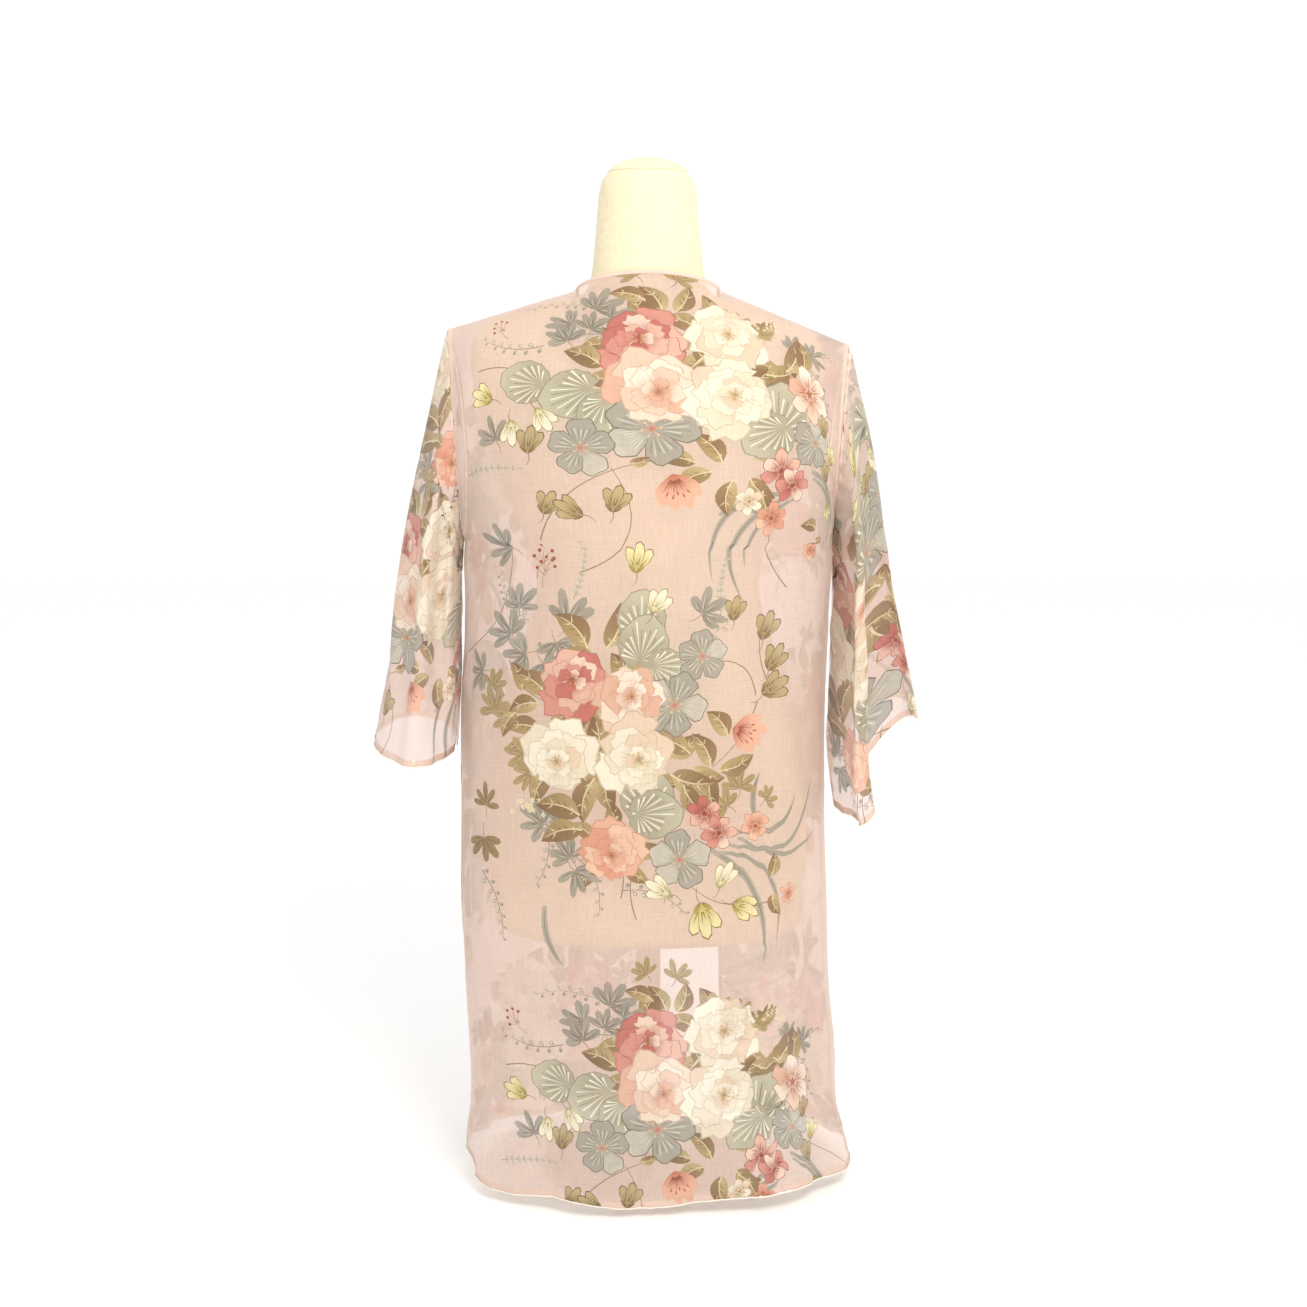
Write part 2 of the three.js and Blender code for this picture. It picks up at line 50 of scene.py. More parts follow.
# Camera
PITCH = math.radians(8)
DISTANCE = 1.85
TARGET = (0.0055, 0.0, 0.534)
camera_data = bpy.data.cameras.new("camera")
camera_data.lens = 50.96
camera_data.sensor_width = 36
camera = bpy.data.objects.new("camera", camera_data)
camera.location = (
    TARGET[0],
    TARGET[1] - DISTANCE * math.cos(PITCH),
    TARGET[2] + DISTANCE * math.sin(PITCH),
)
camera.rotation_euler = (PI / 2 - PITCH, 0, 0)
bpy.context.scene.collection.objects.link(camera)
bpy.context.scene.camera = camera

# Sizes shared with the solids
SEAM_GAP = 0.3
NECK_HALF = 72
NECK_POINT = np.array([NECK_HALF, 4, 889.5])
NAPE_BACK = 57
NAPE_RISE = 14
NAPE_POWER = 1.4
UNDERARM_Z = 650
HEM_Z = 16
LOOP_POWER = 2.5
SHOULDER_TIP = {"left": np.array([-195, -4, 853.0]), "right": np.array([196, -4, 838.0])}
# z, left, right, back, front
BODY = [
    (0, 186, 208, 134, 117),
    (30, 187, 202, 133, 117),
    (73, 183, 191, 131, 118),
    (137, 183, 187, 129, 119),
    (200, 186, 181, 127, 120),
    (304, 189, 178, 125, 121),
    (392, 188, 176, 124, 121),
    (487, 187, 176, 123, 120),
    (555, 182, 178, 122, 119),
    (650, 181, 182, 121, 117),
    (720, 181, 184, 121, 116),
]
# z, left, right
FRONT_EDGE = [
    (0, -6, 86),
    (120, -8, 82),
    (250, -12, 79),
    (400, -14, 77),
    (520, -19, 70),
    (650, -28, 60),
    (720, -33, 57),
]
SIDE_SEAM = {"left": -87, "right": 93}
# angle, spread, out, start, full
BODY_FOLDS = [
    (-74, 15, -7, 640, 420),
    (-58, 15, 4, 640, 300),
    (-30, 16, -3.5, 420, 60),
    (-12, 15, 3.5, 360, 30),
    (10, 16, -4, 300, 30),
    (33, 17, 4.5, 520, 60),
    (56, 15, -5, 620, 250),
    (74, 14, 5, 600, 120),
    (108, 15, -8, 560, 200),
    (126, 14, 5, 600, 200),
    (144, 12, -4, 500, 150),
    (-108, 15, -8, 560, 200),
    (-128, 15, 6, 600, 200),
    (-148, 14, -5, 520, 150),
    (-166, 12, 4, 420, 120),
]
# angle, spread, drop
HEM_DIPS = [
    (-45, 22, 4),
    (-2, 20, 6),
    (40, 30, -3),
    (92, 26, -6),
    (-95, 26, -6),
    (140, 30, 3),
    (-145, 30, 3),
]
HEM_DIP_HEIGHT = 110
# share, up x, up y, up z, low x, low y, low z
BACK_GUIDES = [
    (0, 0, -75, 852, 0, -121, 780),
    (0.37, 75, -62, 884, 88, -121, 796),
    (0.7, 137, -68, 864, 146, -117, 784),
    (0.88, 171, -66, 844, 173, -106, 755),
    (1, 188, -58, 800, 180, -88, 705),
]
FRONT_GUIDES = [
    (0, 72, 58, 880, 44, 117, 765),
    (0.5, 132, 62, 856, 118, 113, 770),
    (0.8, 170, 58, 836, 168, 98, 740),
    (1, 188, 48, 800, 180, 74, 705),
]
HANG_SHARE = 0.5
LOW_TIP_Z = 838
# The shares of a higher shoulder's lift that the guides take, upper and lower
LIFT_SHARES = (0.8, 0.2)
# x, y, out, deep, z, outer rise, back drop
CUFF = {
    "left": (-233.5, -3, 40, 76, 446, 4, 12),
    "right": (227, -5, 42, 74, 432, 38, 33),
}
# angle, spread, out, forward, lift
CUFF_FOLDS = {
    "left": [],
    "right": [(58, 34, -30, 0, 0), (30, 30, 0, 8, 22), (95, 40, -5, 0, -16)],
}
# angle, spread, out, forward, start, end
SLEEVE_FOLDS = {
    "left": [
        (0, 75, 9, 0, 0, 0.75),
        (122, 30, 2, 18, 0.08, 0.95),
        (60, 34, -5, 7, 0.35, 1.3),
        (245, 32, -3, -14, 0.15, 1.3),
    ],
    "right": [
        (0, 60, 7, 0, 0, 0.6),
        (48, 42, -9, 36, 0.06, 1.6),
        (98, 26, -9, -4, 0.1, 1.2),
        (235, 32, -4, -14, 0.15, 1.3),
    ],
}
SLEEVE_LEAVE = 0.34
SLEEVE_ARRIVE = 0.3
# How a sleeve leaves the armhole: out at least, out more at its sides, forward and back
SLEEVE_SLANT = (0.12, 0.26, 0.14)
# z, half, back, front, power
FORM = [
    (259, 151, 100, 92, 2.2),
    (264, 155, 104, 95, 2.2),
    (305, 158, 108, 98, 2.2),
    (365, 160, 110, 100, 2.2),
    (430, 156, 109, 98, 2.2),
    (500, 142, 103, 92, 2.2),
    (556, 121, 95, 84, 2.2),
    (602, 110, 89, 80, 2.2),
    (642, 118, 91, 88, 2.2),
    (690, 139, 98, 103, 2.2),
    (728, 153, 103, 106, 2.2),
    (768, 164, 102, 92, 2.2),
    (806, 172, 86, 74, 2.2),
    (824, 173, 76, 62, 2.1),
    (842, 169, 66, 50, 1.9),
    (852.6, 159, 60, 46, 1.8),
    (863.1, 138, 54, 43, 1.7),
    (873.1, 111, 50, 40, 1.6),
    (880, 88, 49, 39, 1.6),
    (883, 74, 49, 41.5, 1.65),
    (887.5, 63, 48.5, 45.5, 1.8),
    (894, 58.5, 49, 50, 2),
    (907, 54.5, 48, 50.5, 2),
    (928, 52, 47.5, 50.5, 2),
    (957, 49.4, 47, 50, 2),
    (984, 46.8, 46, 48, 2),
    (995, 43.6, 43.5, 44.5, 2),
    (1002, 39, 39, 40, 2),
]
FORM_LEAN = (0.026, 760, 835, 870, 890)


def smooth(rows, column, at):
    """Values from a table, smooth between its rows, looked up by its first column."""
    keys = np.array([r[0] for r in rows], float)
    values = np.array([r[column] for r in rows], float)
    slopes = np.empty(len(keys))
    slopes[1:-1] = (values[2:] - values[:-2]) / (keys[2:] - keys[:-2])
    slopes[0] = (values[1] - values[0]) / (keys[1] - keys[0])
    slopes[-1] = (values[-1] - values[-2]) / (keys[-1] - keys[-2])
    at = np.asarray(at, float)
    i = np.clip(np.searchsorted(keys, at, side="left") - 1, 0, len(keys) - 2)
    step = keys[i + 1] - keys[i]
    t = np.clip((at - keys[i]) / step, 0, 1)
    return (
        (2 * t**3 - 3 * t**2 + 1) * values[i]
        + (t**3 - 2 * t**2 + t) * step * slopes[i]
        + (3 * t**2 - 2 * t**3) * values[i + 1]
        + (t**3 - t**2) * step * slopes[i + 1]
    )


def unit(vectors):
    """The vectors along the last axis, each with length 1."""
    return vectors / np.maximum(np.linalg.norm(vectors, axis=-1, keepdims=True), 1e-9)


def bump(distance, spread):
    share = np.minimum(np.abs(distance) / spread, 1)
    return np.cos(share * PI / 2) ** 2


def between(value, none, full):
    x = np.clip((np.asarray(value, float) - none) / (full - none), 0, 1)
    return x * x * (3 - 2 * x)


def turn(a, b):
    return (b - a + 180) % 360 - 180


def section(angle, left, right, back, front, power, z):
    s = np.sin(np.radians(angle))
    c = np.cos(np.radians(angle))
    x = np.sign(s) * np.abs(s) ** (2 / power) * np.where(s < 0, left, right)
    y = -np.sign(c) * np.abs(c) ** (2 / power) * np.where(c < 0, front, back)
    return np.stack([x, y, z + 0 * x], -1)


def body_point(angle, z):
    angle = np.asarray(angle, float)
    z = z + 0 * angle
    p = section(angle, *(smooth(BODY, k, z) for k in (1, 2, 3, 4)), LOOP_POWER, z)
    out = 0
    for at, spread, push, start, full in BODY_FOLDS:
        out = out + push * bump(turn(at, angle), spread) * between(z, start, full)
    p[..., 0] += out * np.sin(np.radians(angle))
    p[..., 1] -= out * np.cos(np.radians(angle))
    drop = 0
    for at, spread, down in HEM_DIPS:
        drop = drop + down * bump(turn(at, angle), spread)
    p[..., 2] -= drop * between(z, HEM_Z + HEM_DIP_HEIGHT, HEM_Z)
    return p


def front_edge_angle(side, z):
    x = float(smooth(FRONT_EDGE, 1 if side == "left" else 2, z))
    half = float(smooth(BODY, 1 if x < 0 else 2, z))
    angle = 180 - math.degrees(math.asin((abs(x) / half) ** (LOOP_POWER / 2)))
    return -angle if x < 0 else angle


def evenly(points, count, set_back=0.0):
    """Points of a line, evenly spaced along it."""
    run = np.concatenate([[0], np.cumsum(np.linalg.norm(np.diff(points, axis=0), axis=1))])
    want = np.linspace(set_back, run[-1] - set_back, count + 1)
    return np.stack([np.interp(want, run, points[:, k]) for k in range(points.shape[1])], -1)


def skirt_row(start, end, z, count):
    return evenly(body_point(np.linspace(start, end, 360), z), count, SEAM_GAP / 2)


def guided(top, low, guides, share, side, t):
    sign = -1 if side == "left" else 1
    lift = SHOULDER_TIP[side][2] - LOW_TIP_Z
    weight = share if guides is BACK_GUIDES else between(share, 0, 1)
    value = [smooth(guides, k, share) for k in range(1, 7)]
    hold = between(share, HANG_SHARE, 1)
    up = np.stack([sign * value[0], value[1], value[2] + lift * weight * LIFT_SHARES[0]], -1)
    down = np.stack(
        [
            low[..., 0] + (sign * value[3] - low[..., 0]) * hold,
            low[..., 1] + (value[4] - low[..., 1]) * hold,
            value[5] + lift * weight * LIFT_SHARES[1],
        ],
        -1,
    )
    return cubic(top, up, down, low, t)


def cubic(a, b, c, d, t):
    t = np.asarray(t)[..., None]
    return (1 - t) ** 3 * a + 3 * (1 - t) ** 2 * t * b + 3 * (1 - t) * t**2 * c + t**3 * d


def shoulder_point(side, share):
    neck = NECK_POINT * (-1 if side == "left" else 1, 1, 1)
    return neck + (SHOULDER_TIP[side] - neck) * share


def back_top(u):
    side = "left" if u < 0 else "right"
    neck_share = NECK_HALF / SHOULDER_TIP["right"][0]
    share = abs(u)
    if share >= neck_share:
        p = shoulder_point(side, (share - neck_share) / (1 - neck_share))
        return p - (0, SEAM_GAP / 2, 0)
    angle = u / neck_share * PI / 2
    return np.array(
        [
            NECK_HALF * math.sin(angle),
            NECK_POINT[1] - SEAM_GAP / 2 - NAPE_BACK * math.cos(angle),
            NECK_POINT[2] + NAPE_RISE * math.cos(angle) ** NAPE_POWER,
        ]
    )


# Cutting plans: a grid of points down and across each piece
ROWS = 150
BACK_COLUMNS = 180
FRONT_COLUMNS = 90
SLEEVE_COLUMNS = 160
PLAN_STEPS = 12


class Plan:
    """A cloth piece's hanging form and its flat plan.

    The grid's zones run down from the top edge. In the plan, s goes across from the middle and t
    goes down, with 0 on the base line: the underarm of a body piece, or the cuff of a sleeve.
    """

    def __init__(self, name, upper, lower=None):
        self.name = name
        self.zones = [self.level(g) for g in (upper, lower) if g is not None]
        self.widths = [self.square_width(g) for g in self.zones]
        for k, grid in enumerate(self.zones):
            s, t = self.plan_of(k, *self.lattice(grid.shape))
            grid += self.normals(grid) * detail(name, s, t, self.length(k))[..., None]
        self.outward = [self.normals(g) for g in self.zones]

    @staticmethod
    def level(grid):
        """Space the points of each column evenly, so that the plan isn't stretched."""
        columns = [evenly(grid[:, j], grid.shape[0] - 1) for j in range(grid.shape[1])]
        return np.stack(columns, 1)

    @staticmethod
    def normals(grid):
        down = np.gradient(grid, axis=0)
        across = np.gradient(grid, axis=1)
        return unit(np.cross(down, across))

    @staticmethod
    def lattice(shape):
        return np.meshgrid(np.linspace(0, 1, shape[1]), np.linspace(0, 1, shape[0]))

    @staticmethod
    def square_width(grid):
        """Each row's width, measured square to the columns."""
        across = np.diff(grid, axis=1)
        down = np.gradient(grid, axis=0)
        down = unit((down[:, 1:] + down[:, :-1]) / 2)
        along = (across * down).sum(-1, keepdims=True)
        return np.linalg.norm(across - along * down, axis=-1).sum(1)

    def length(self, zone):
        grid = self.zones[zone]
        return np.linalg.norm(np.diff(grid, axis=0), axis=-1).sum(0)

    @staticmethod
    def share_of(values, at):
        return np.interp(at, np.linspace(0, 1, len(values)), values)

    def plan_of(self, zone, u, v):
        width = self.share_of(self.widths[zone], v)
        length = self.share_of(self.length(zone), u)
        return (u - 0.5) * width, (length * (v - 1) if zone == 0 else length * v)

    def form_of(self, s, t):
        """The hanging points and outward directions for points of the plan."""
        point = np.zeros((len(s), 3))
        out = np.zeros((len(s), 3))
        for zone in range(len(self.zones)):
            pick = (t <= 0) if zone == 0 else (t > 0)
            if len(self.zones) == 1:
                pick = np.ones(len(s), bool)
            if not pick.any():
                continue
            widths = self.widths[zone]
            lengths = self.length(zone)
            u = np.full(pick.sum(), 0.5)
            for _ in range(PLAN_STEPS):
                length = self.share_of(lengths, u)
                v = np.clip(t[pick] / length + (1 if zone == 0 else 0), 0, 1)
                width = self.share_of(widths, v)
                u = np.clip(0.5 + s[pick] / width, 0, 1)
            point[pick] = self.sample(self.zones[zone], u, v)
            out[pick] = self.sample(self.outward[zone], u, v)
        return point, unit(out)

    @staticmethod
    def sample(grid, u, v):
        x = u * (grid.shape[1] - 1)
        y = v * (grid.shape[0] - 1)
        j = np.minimum(x.astype(int), grid.shape[1] - 2)
        i = np.minimum(y.astype(int), grid.shape[0] - 2)
        fx = (x - j)[:, None]
        fy = (y - i)[:, None]
        top = grid[i, j] * (1 - fx) + grid[i, j + 1] * fx
        low = grid[i + 1, j] * (1 - fx) + grid[i + 1, j + 1] * fx
        return top * (1 - fy) + low * fy

    def edge(self, which, count=160):
        """Plan points along one edge: top, bottom, left or right."""
        last = len(self.zones) - 1
        k = np.linspace(0, 1, count)
        if which == "top":
            return np.stack(self.plan_of(0, k, 0 * k), 1)
        if which == "bottom":
            return np.stack(self.plan_of(last, k, 0 * k + 1), 1)
        u = 0 * k + (0 if which == "left" else 1)
        runs = [np.stack(self.plan_of(z, u, k), 1) for z in range(last + 1)]
        return np.concatenate([runs[0]] + [r[1:] for r in runs[1:]])

    def outline(self):
        top = self.edge("top")
        right = self.edge("right")
        bottom = self.edge("bottom")[::-1]
        left = self.edge("left")[::-1]
        return np.concatenate([top[:-1], right[:-1], bottom[:-1], left[:-1]])


def ripple(s, t, wave, seed):
    """A soft, uneven ripple across s, from -1 to 1."""
    rng = random.Random(seed)
    total = 0
    for k in (1, 1.7, 2.6):
        phase = rng.uniform(0, 6.28)
        drift = rng.uniform(-0.25, 0.25)
        total = total + np.sin(2 * PI * k * (s + drift * t) / wave + phase) / k
    return total / 1.6


# Creases of the back: from s and t, to s and t, height, width
CREASES = [
    (64, 402, 122, 384, 3.4, 3.5),
    (84, 424, 150, 408, 3.2, 3.5),
    (72, 458, 118, 430, 3.4, 4),
    (122, 378, 154, 446, 3, 4),
    (100, 478, 166, 456, 2.6, 4),
    (58, 430, 82, 470, 2.8, 3.5),
    (140, 400, 150, 356, 1.6, 4),
    (-196, 546, 12, 558, 1.6, 4),
    (20, 555, 206, 546, 2, 4),
    (52, 543, 128, 539, 3.6, 3),
    (-96, 318, -52, 352, 1.4, 6),
    (-150, 40, -70, 62, 1.4, 7),
    (-196, 300, -160, 420, 1.6, 6),
    (176, 250, 150, 350, 1.6, 6),
]
# A patch of crumpled cloth: its middle, half its size each way, and how many short creases it has
CRUMPLE = (112, 428, 50, 46, 26)


def short_creases():
    s, t, across, down, count = CRUMPLE
    rng = random.Random(19)
    rows = []
    for _ in range(count):
        a = rng.uniform(0, 2 * PI)
        far = math.sqrt(rng.random())
        x = s + across * far * math.cos(a)
        y = t + down * far * math.sin(a)
        turned = rng.uniform(-0.9, 0.9)
        reach = rng.uniform(6, 14)
        dx = reach * math.cos(turned)
        dy = reach * math.sin(turned)
        rows.append((x - dx, y - dy, x + dx, y + dy, rng.uniform(2.0, 3.6), rng.uniform(2.6, 3.8)))
    return rows


ALL_CREASES = CREASES + short_creases()


def crease_points():
    """Plan points that are close enough together to carry the creases."""
    points = []
    for s0, t0, s1, t1, _, width in ALL_CREASES:
        length = math.hypot(s1 - s0, t1 - t0)
        ds = (s1 - s0) / length
        dt = (t1 - t0) / length
        for away in (-1.3, -0.65, 0, 0.65, 1.3):
            for along in np.linspace(0, length, int(length / 5) + 2):
                s = s0 + ds * along - dt * away * width
                points.append((s, t0 + dt * along + ds * away * width))
    return np.array(points)


def creases(s, t):
    out = 0 * s
    for s0, t0, s1, t1, height, width in ALL_CREASES:
        ds = s1 - s0
        dt = t1 - t0
        length = math.hypot(ds, dt)
        along = np.clip(((s - s0) * ds + (t - t0) * dt) / length**2, 0, 1)
        away = ((s - s0) * dt - (t - t0) * ds) / length
        out = out + height * np.exp(-((away / width) ** 2)) * np.sin(PI * along) ** 0.6
    return out


def detail(name, s, t, length):
    """Small creases that the solids leave out: how far out, in millimetres."""
    if name.startswith("sleeve"):
        top = np.clip((length[None, :] + t) / 60, 0, 1)
        cuff = between(t, -60, 0)
        seam = 0.5 * ripple(s, t, 13, 31) * (1 - top)
        return seam + 1.5 * ripple(s, t, 58, 7) * top + 0.7 * ripple(s, t, 24, 8) * cuff * top
    low = between(t, -40, 560)
    side = between(np.abs(s), 120, 220) * between(np.abs(s), 246, 236)
    pull = side * between(t, -190, -90) * between(t, 130, 0)
    folds = 0.5 * ripple(s, t, 74, 3) * between(t, -240, -120)
    folds = folds + (0.4 + 1.1 * low) * 0.7 * ripple(s, t, 47, 5) * low
    folds = folds + 0.9 * pull * ripple(t, np.abs(s) * 2.4, 60, 11)
    hem = 0.45 * ripple(s, 0 * t, 15, 17) * between(t, 615, 632)
    if name == "back":
        folds = folds + creases(s, t)
    return folds + hem


def body_upper(low, top, guides, shares, sides):
    grid = np.empty((ROWS + 1, len(low), 3))
    t = np.linspace(0, 1, ROWS + 1)
    for j in range(len(low)):
        share = np.full(ROWS + 1, shares[j])
        lows = np.repeat(low[None, j], ROWS + 1, 0)
        grid[:, j] = guided(top[j], lows, guides, share, sides[j], t)
    return grid


def skirt(row):
    """Rows of points from the underarms down to the hem."""
    return np.stack([row(z) for z in np.linspace(UNDERARM_Z, HEM_Z, 2 * ROWS + 1)])


def make_back():
    def row(z):
        return skirt_row(SIDE_SEAM["left"], SIDE_SEAM["right"], z, BACK_COLUMNS)

    u = np.linspace(-1, 1, BACK_COLUMNS + 1)
    top = [back_top(k) for k in u]
    sides = ["left" if k < 0 else "right" for k in u]
    upper = body_upper(row(UNDERARM_Z), top, BACK_GUIDES, np.abs(u), sides)
    return Plan("back", upper, skirt(row))


def make_front(side):
    def row(z):
        edge = front_edge_angle(side, z)
        if side == "left":
            return skirt_row(edge, SIDE_SEAM["left"], z, FRONT_COLUMNS)
        return skirt_row(SIDE_SEAM["right"], edge, z, FRONT_COLUMNS)

    share = np.linspace(0, 1, FRONT_COLUMNS + 1)
    if side == "right":
        share = share[::-1]
    top = [shoulder_point(side, k) + (0, SEAM_GAP / 2, 0) for k in share]
    upper = body_upper(row(UNDERARM_Z), top, FRONT_GUIDES, share, [side] * len(share))
    return Plan("front_" + side, upper, skirt(row))


def armhole_point(side, angle, back, front):
    t = angle / 180 if angle <= 180 else (360 - angle) / 180
    plan = back if angle <= 180 else front
    first = (angle <= 180) == (side == "left")
    edge = plan.zones[0][:, 0 if first else -1]
    at = t * (len(edge) - 1)
    i = min(int(at), len(edge) - 2)
    return edge[i] + (edge[i + 1] - edge[i]) * (at - i)


def make_sleeve(side, back, front):
    columns = SLEEVE_COLUMNS
    sign = -1 if side == "left" else 1
    x, y, out, deep, z, rise, drop = CUFF[side]
    least, more, slant = SLEEVE_SLANT
    t = np.linspace(0, 1, 2 * ROWS + 1)
    grid = np.empty((2 * ROWS + 1, columns + 1, 3))
    tip_cuff = x + sign * out
    axis = unit(np.array([SHOULDER_TIP[side][0] - tip_cuff, 0, 400.0]))
    for j in range(columns + 1):
        angle = (-180 + 360 * j / columns) * (1 if side == "left" else -1) % 360
        cos = math.cos(math.radians(angle))
        sin = math.sin(math.radians(angle))
        top = armhole_point(side, angle, back, front) + (sign * 2 * SEAM_GAP, 0, 0)
        cuff = np.array([x + sign * out * cos, y - deep * sin, z + rise * cos - drop * sin])
        for at, spread, push, forward, lift in CUFF_FOLDS[side]:
            cuff += np.array([sign * push, forward, lift]) * bump(turn(at, angle), spread)
        length = np.linalg.norm(top - cuff)
        leave = unit(np.array([sign * (least + more * abs(sin)), -slant * sin, -1]))
        up = top + leave * length * SLEEVE_LEAVE
        down = cuff + axis * length * SLEEVE_ARRIVE
        p = cubic(top, up, down, cuff, t)
        for at, spread, push, forward, start, end in SLEEVE_FOLDS[side]:
            share = np.clip((t - start) / (end - start), 0, 1)
            size = bump(turn(at, angle), spread) * np.sin(PI * share).clip(0) ** 0.7
            p[:, 0] += sign * push * size
            p[:, 1] += forward * size
        grid[:, j] = p
    return Plan("sleeve_" + side, grid)


# Print: flat shapes, later ones on top. Angles are clockwise from straight up.
INK_ALPHA = 0.84
GROUND_ALPHA = 0.58
GROUND = (228, 203, 192)
OLIVE = [(160, 137, 98), (142, 119, 82), (152, 126, 88)]
OLIVE_LIGHT = [(192, 172, 128), (178, 156, 112)]
OLIVE_VEIN = (218, 202, 166)
LEAF_LEAN = 0.12
LEAF_BLUSH = (120, 82, 64)
STALK = (142, 124, 98)
BERRY_STALK = (150, 112, 92)
SAGE = (190, 184, 162)
SAGE_DARK = (142, 135, 114)
BLUE = (166, 160, 148)
BLUE_LIGHT = (200, 193, 180)
BLUE_DARK = (122, 115, 104)
WHITE_INK = (240, 234, 218)
STAR_INKS = {
    "grey": ((146, 139, 127), (190, 183, 170), (108, 101, 91)),
    "olive": (OLIVE[0], OLIVE_LIGHT[0], OLIVE[1]),
    "brown": (OLIVE[1], OLIVE[0], (104, 86, 52)),
}
BUD_INKS = {
    "white": ((236, 228, 204), (212, 202, 160), (152, 138, 92)),
    "gold": ((228, 218, 168), (184, 168, 92), (132, 116, 58)),
    "olive": ((184, 164, 122), (152, 130, 90), (108, 86, 58)),
}
BEAD_R = 2.4
LEAFLET = 6.5
PALETTES = {
    "rose": {
        "tips": [(208, 142, 130), (190, 112, 104), (222, 178, 160), (232, 204, 186)],
        "base": (156, 74, 70),
        "streak": (138, 58, 56),
        "edge": (150, 86, 78),
    },
    "pink": {
        "tips": [(232, 214, 196), (226, 198, 178), (220, 176, 154), (238, 224, 208)],
        "base": (194, 128, 108),
        "streak": (160, 94, 80),
        "edge": (176, 128, 108),
    },
    "cream": {
        "tips": [(234, 224, 206), (228, 216, 194), (226, 202, 180), (238, 230, 212)],
        "base": (200, 176, 146),
        "streak": (158, 132, 100),
        "edge": (172, 154, 126),
    },
    "salmon": {
        "tips": [(224, 174, 150), (230, 192, 168), (216, 154, 130)],
        "base": (184, 104, 84),
        "streak": (150, 78, 64),
        "edge": (178, 118, 96),
    },
}


def linear(colour):
    c = np.array(colour, float) / 255
    return np.where(c <= 0.04045, c / 12.92, ((c + 0.055) / 1.055) ** 2.4)


def blend(a, b, k):
    return tuple(x + (y - x) * k for x, y in zip(a, b))


class Pen:
    """Draws filled shapes in a motif's own axes: x to its right, y the way that it grows."""

    def __init__(self, shapes, x, y, angle=0.0):
        self.shapes = shapes
        self.place = (x, y, math.radians(angle), 1.0)

    def at(self, x, y, angle=0.0, size=1.0):
        _, _, a, k = self.place
        pen = Pen(self.shapes, 0, 0)
        mx, my = self.map(np.array([[x, y]]))[0]
        pen.place = (mx, my, a + math.radians(angle), k * size)
        return pen

    def map(self, points):
        x, y, a, k = self.place
        points = np.asarray(points, float) * k
        c = math.cos(a)
        s = math.sin(a)
        dx = points[:, 0] * c + points[:, 1] * s
        dy = points[:, 0] * s - points[:, 1] * c
        return np.stack([x + dx, y + dy], 1)

    def fill(self, points, colour, tip=None, reach=1.0):
        tip = colour if tip is None else tip
        ends = self.map(np.array([[0, 0], [0, reach]]))
        self.shapes.append((self.map(points), linear(colour), linear(tip), ends))


def petal(length, width, ruffle=0.0, waves=4, phase=0.0, n=16, narrow=0.5):
    a = (np.arange(n) + 0.5) * 2 * PI / n
    up = (1 - np.cos(a)) / 2
    k = 1 + ruffle * np.sin(waves * a + phase) * up
    return np.stack([0.5 * width * np.sin(a) * up**narrow * k, length * up * k], 1)


def ray(angle, start, end, width):
    a = math.radians(angle)
    c = math.cos(a)
    s = math.sin(a)
    w = width / 2
    foot = [[start * s - w * c, start * c + w * s], [start * s + w * c, start * c - w * s]]
    return np.array(foot + [[end * s, end * c]])


def ribbon(points, widths):
    points = np.asarray(points, float)
    d = unit(np.gradient(points, axis=0))
    side = np.stack([-d[:, 1], d[:, 0]], 1) * np.asarray(widths)[:, None] / 2
    return np.concatenate([points + side, (points - side)[::-1]])


def arc(x0, y0, x1, y1, bend, n=9):
    t = np.linspace(0, 1, n)[:, None]
    a = np.array([x0, y0], float)
    b = np.array([x1, y1], float)
    side = np.array([-(b - a)[1], (b - a)[0]]) * bend
    return a * (1 - t) + b * t + side * 4 * t * (1 - t)


def stem(pen, x0, y0, x1, y1, bend, width, colour=STALK, tip=None, n=13):
    points = arc(x0, y0, x1, y1, bend, n)
    shape = ribbon(points, np.linspace(width, width * 0.5, n))
    pen.fill(shape, colour, tip)
    return points


def along_stem(points, k):
    """The place at share k of a stem, and the way that the stem runs there."""
    at = k * (len(points) - 1)
    i = min(int(at), len(points) - 2)
    step = points[i + 1] - points[i]
    x, y = points[i] + step * (at - i)
    return x, y, math.degrees(math.atan2(*step))


def oval(r, k=1.0, n=8):
    a = np.arange(n) * 2 * PI / n
    return np.stack([r * k * np.cos(a), r * np.sin(a)], 1)


def fan(length, spread, scallops=0.05, waves=7.0, phase=0.0, n=10, foot=0.0):
    """A ruffled petal: narrow where it grows, widest near its scalloped rim."""
    k = np.linspace(-1, 1, n)
    a = np.radians(spread) * k
    r = length * (0.82 + 0.18 * np.cos(k * PI / 2)) * (1 + scallops * np.sin(waves * k + phase))
    rim = np.stack([r * np.sin(a), r * np.cos(a)], 1)
    if foot:
        return np.concatenate([rim, [rim[-1] * (0.8 * foot, foot), rim[0] * (0.8 * foot, foot)]])
    return np.concatenate([[[0, 0], rim[0] * (0.66, 0.5)], rim, [rim[-1] * (0.66, 0.5)]])


# The rounds of a peony's petals: how many, size, spread, first angle, where each one starts
PEONY_ROUNDS = (
    (6, 1.02, 36, 0, 0.55),
    (6, 0.8, 32, 30, 0.5),
    (5, 0.57, 34, 12, 0.4),
    (4, 0.34, 38, 40, 0.0),
)


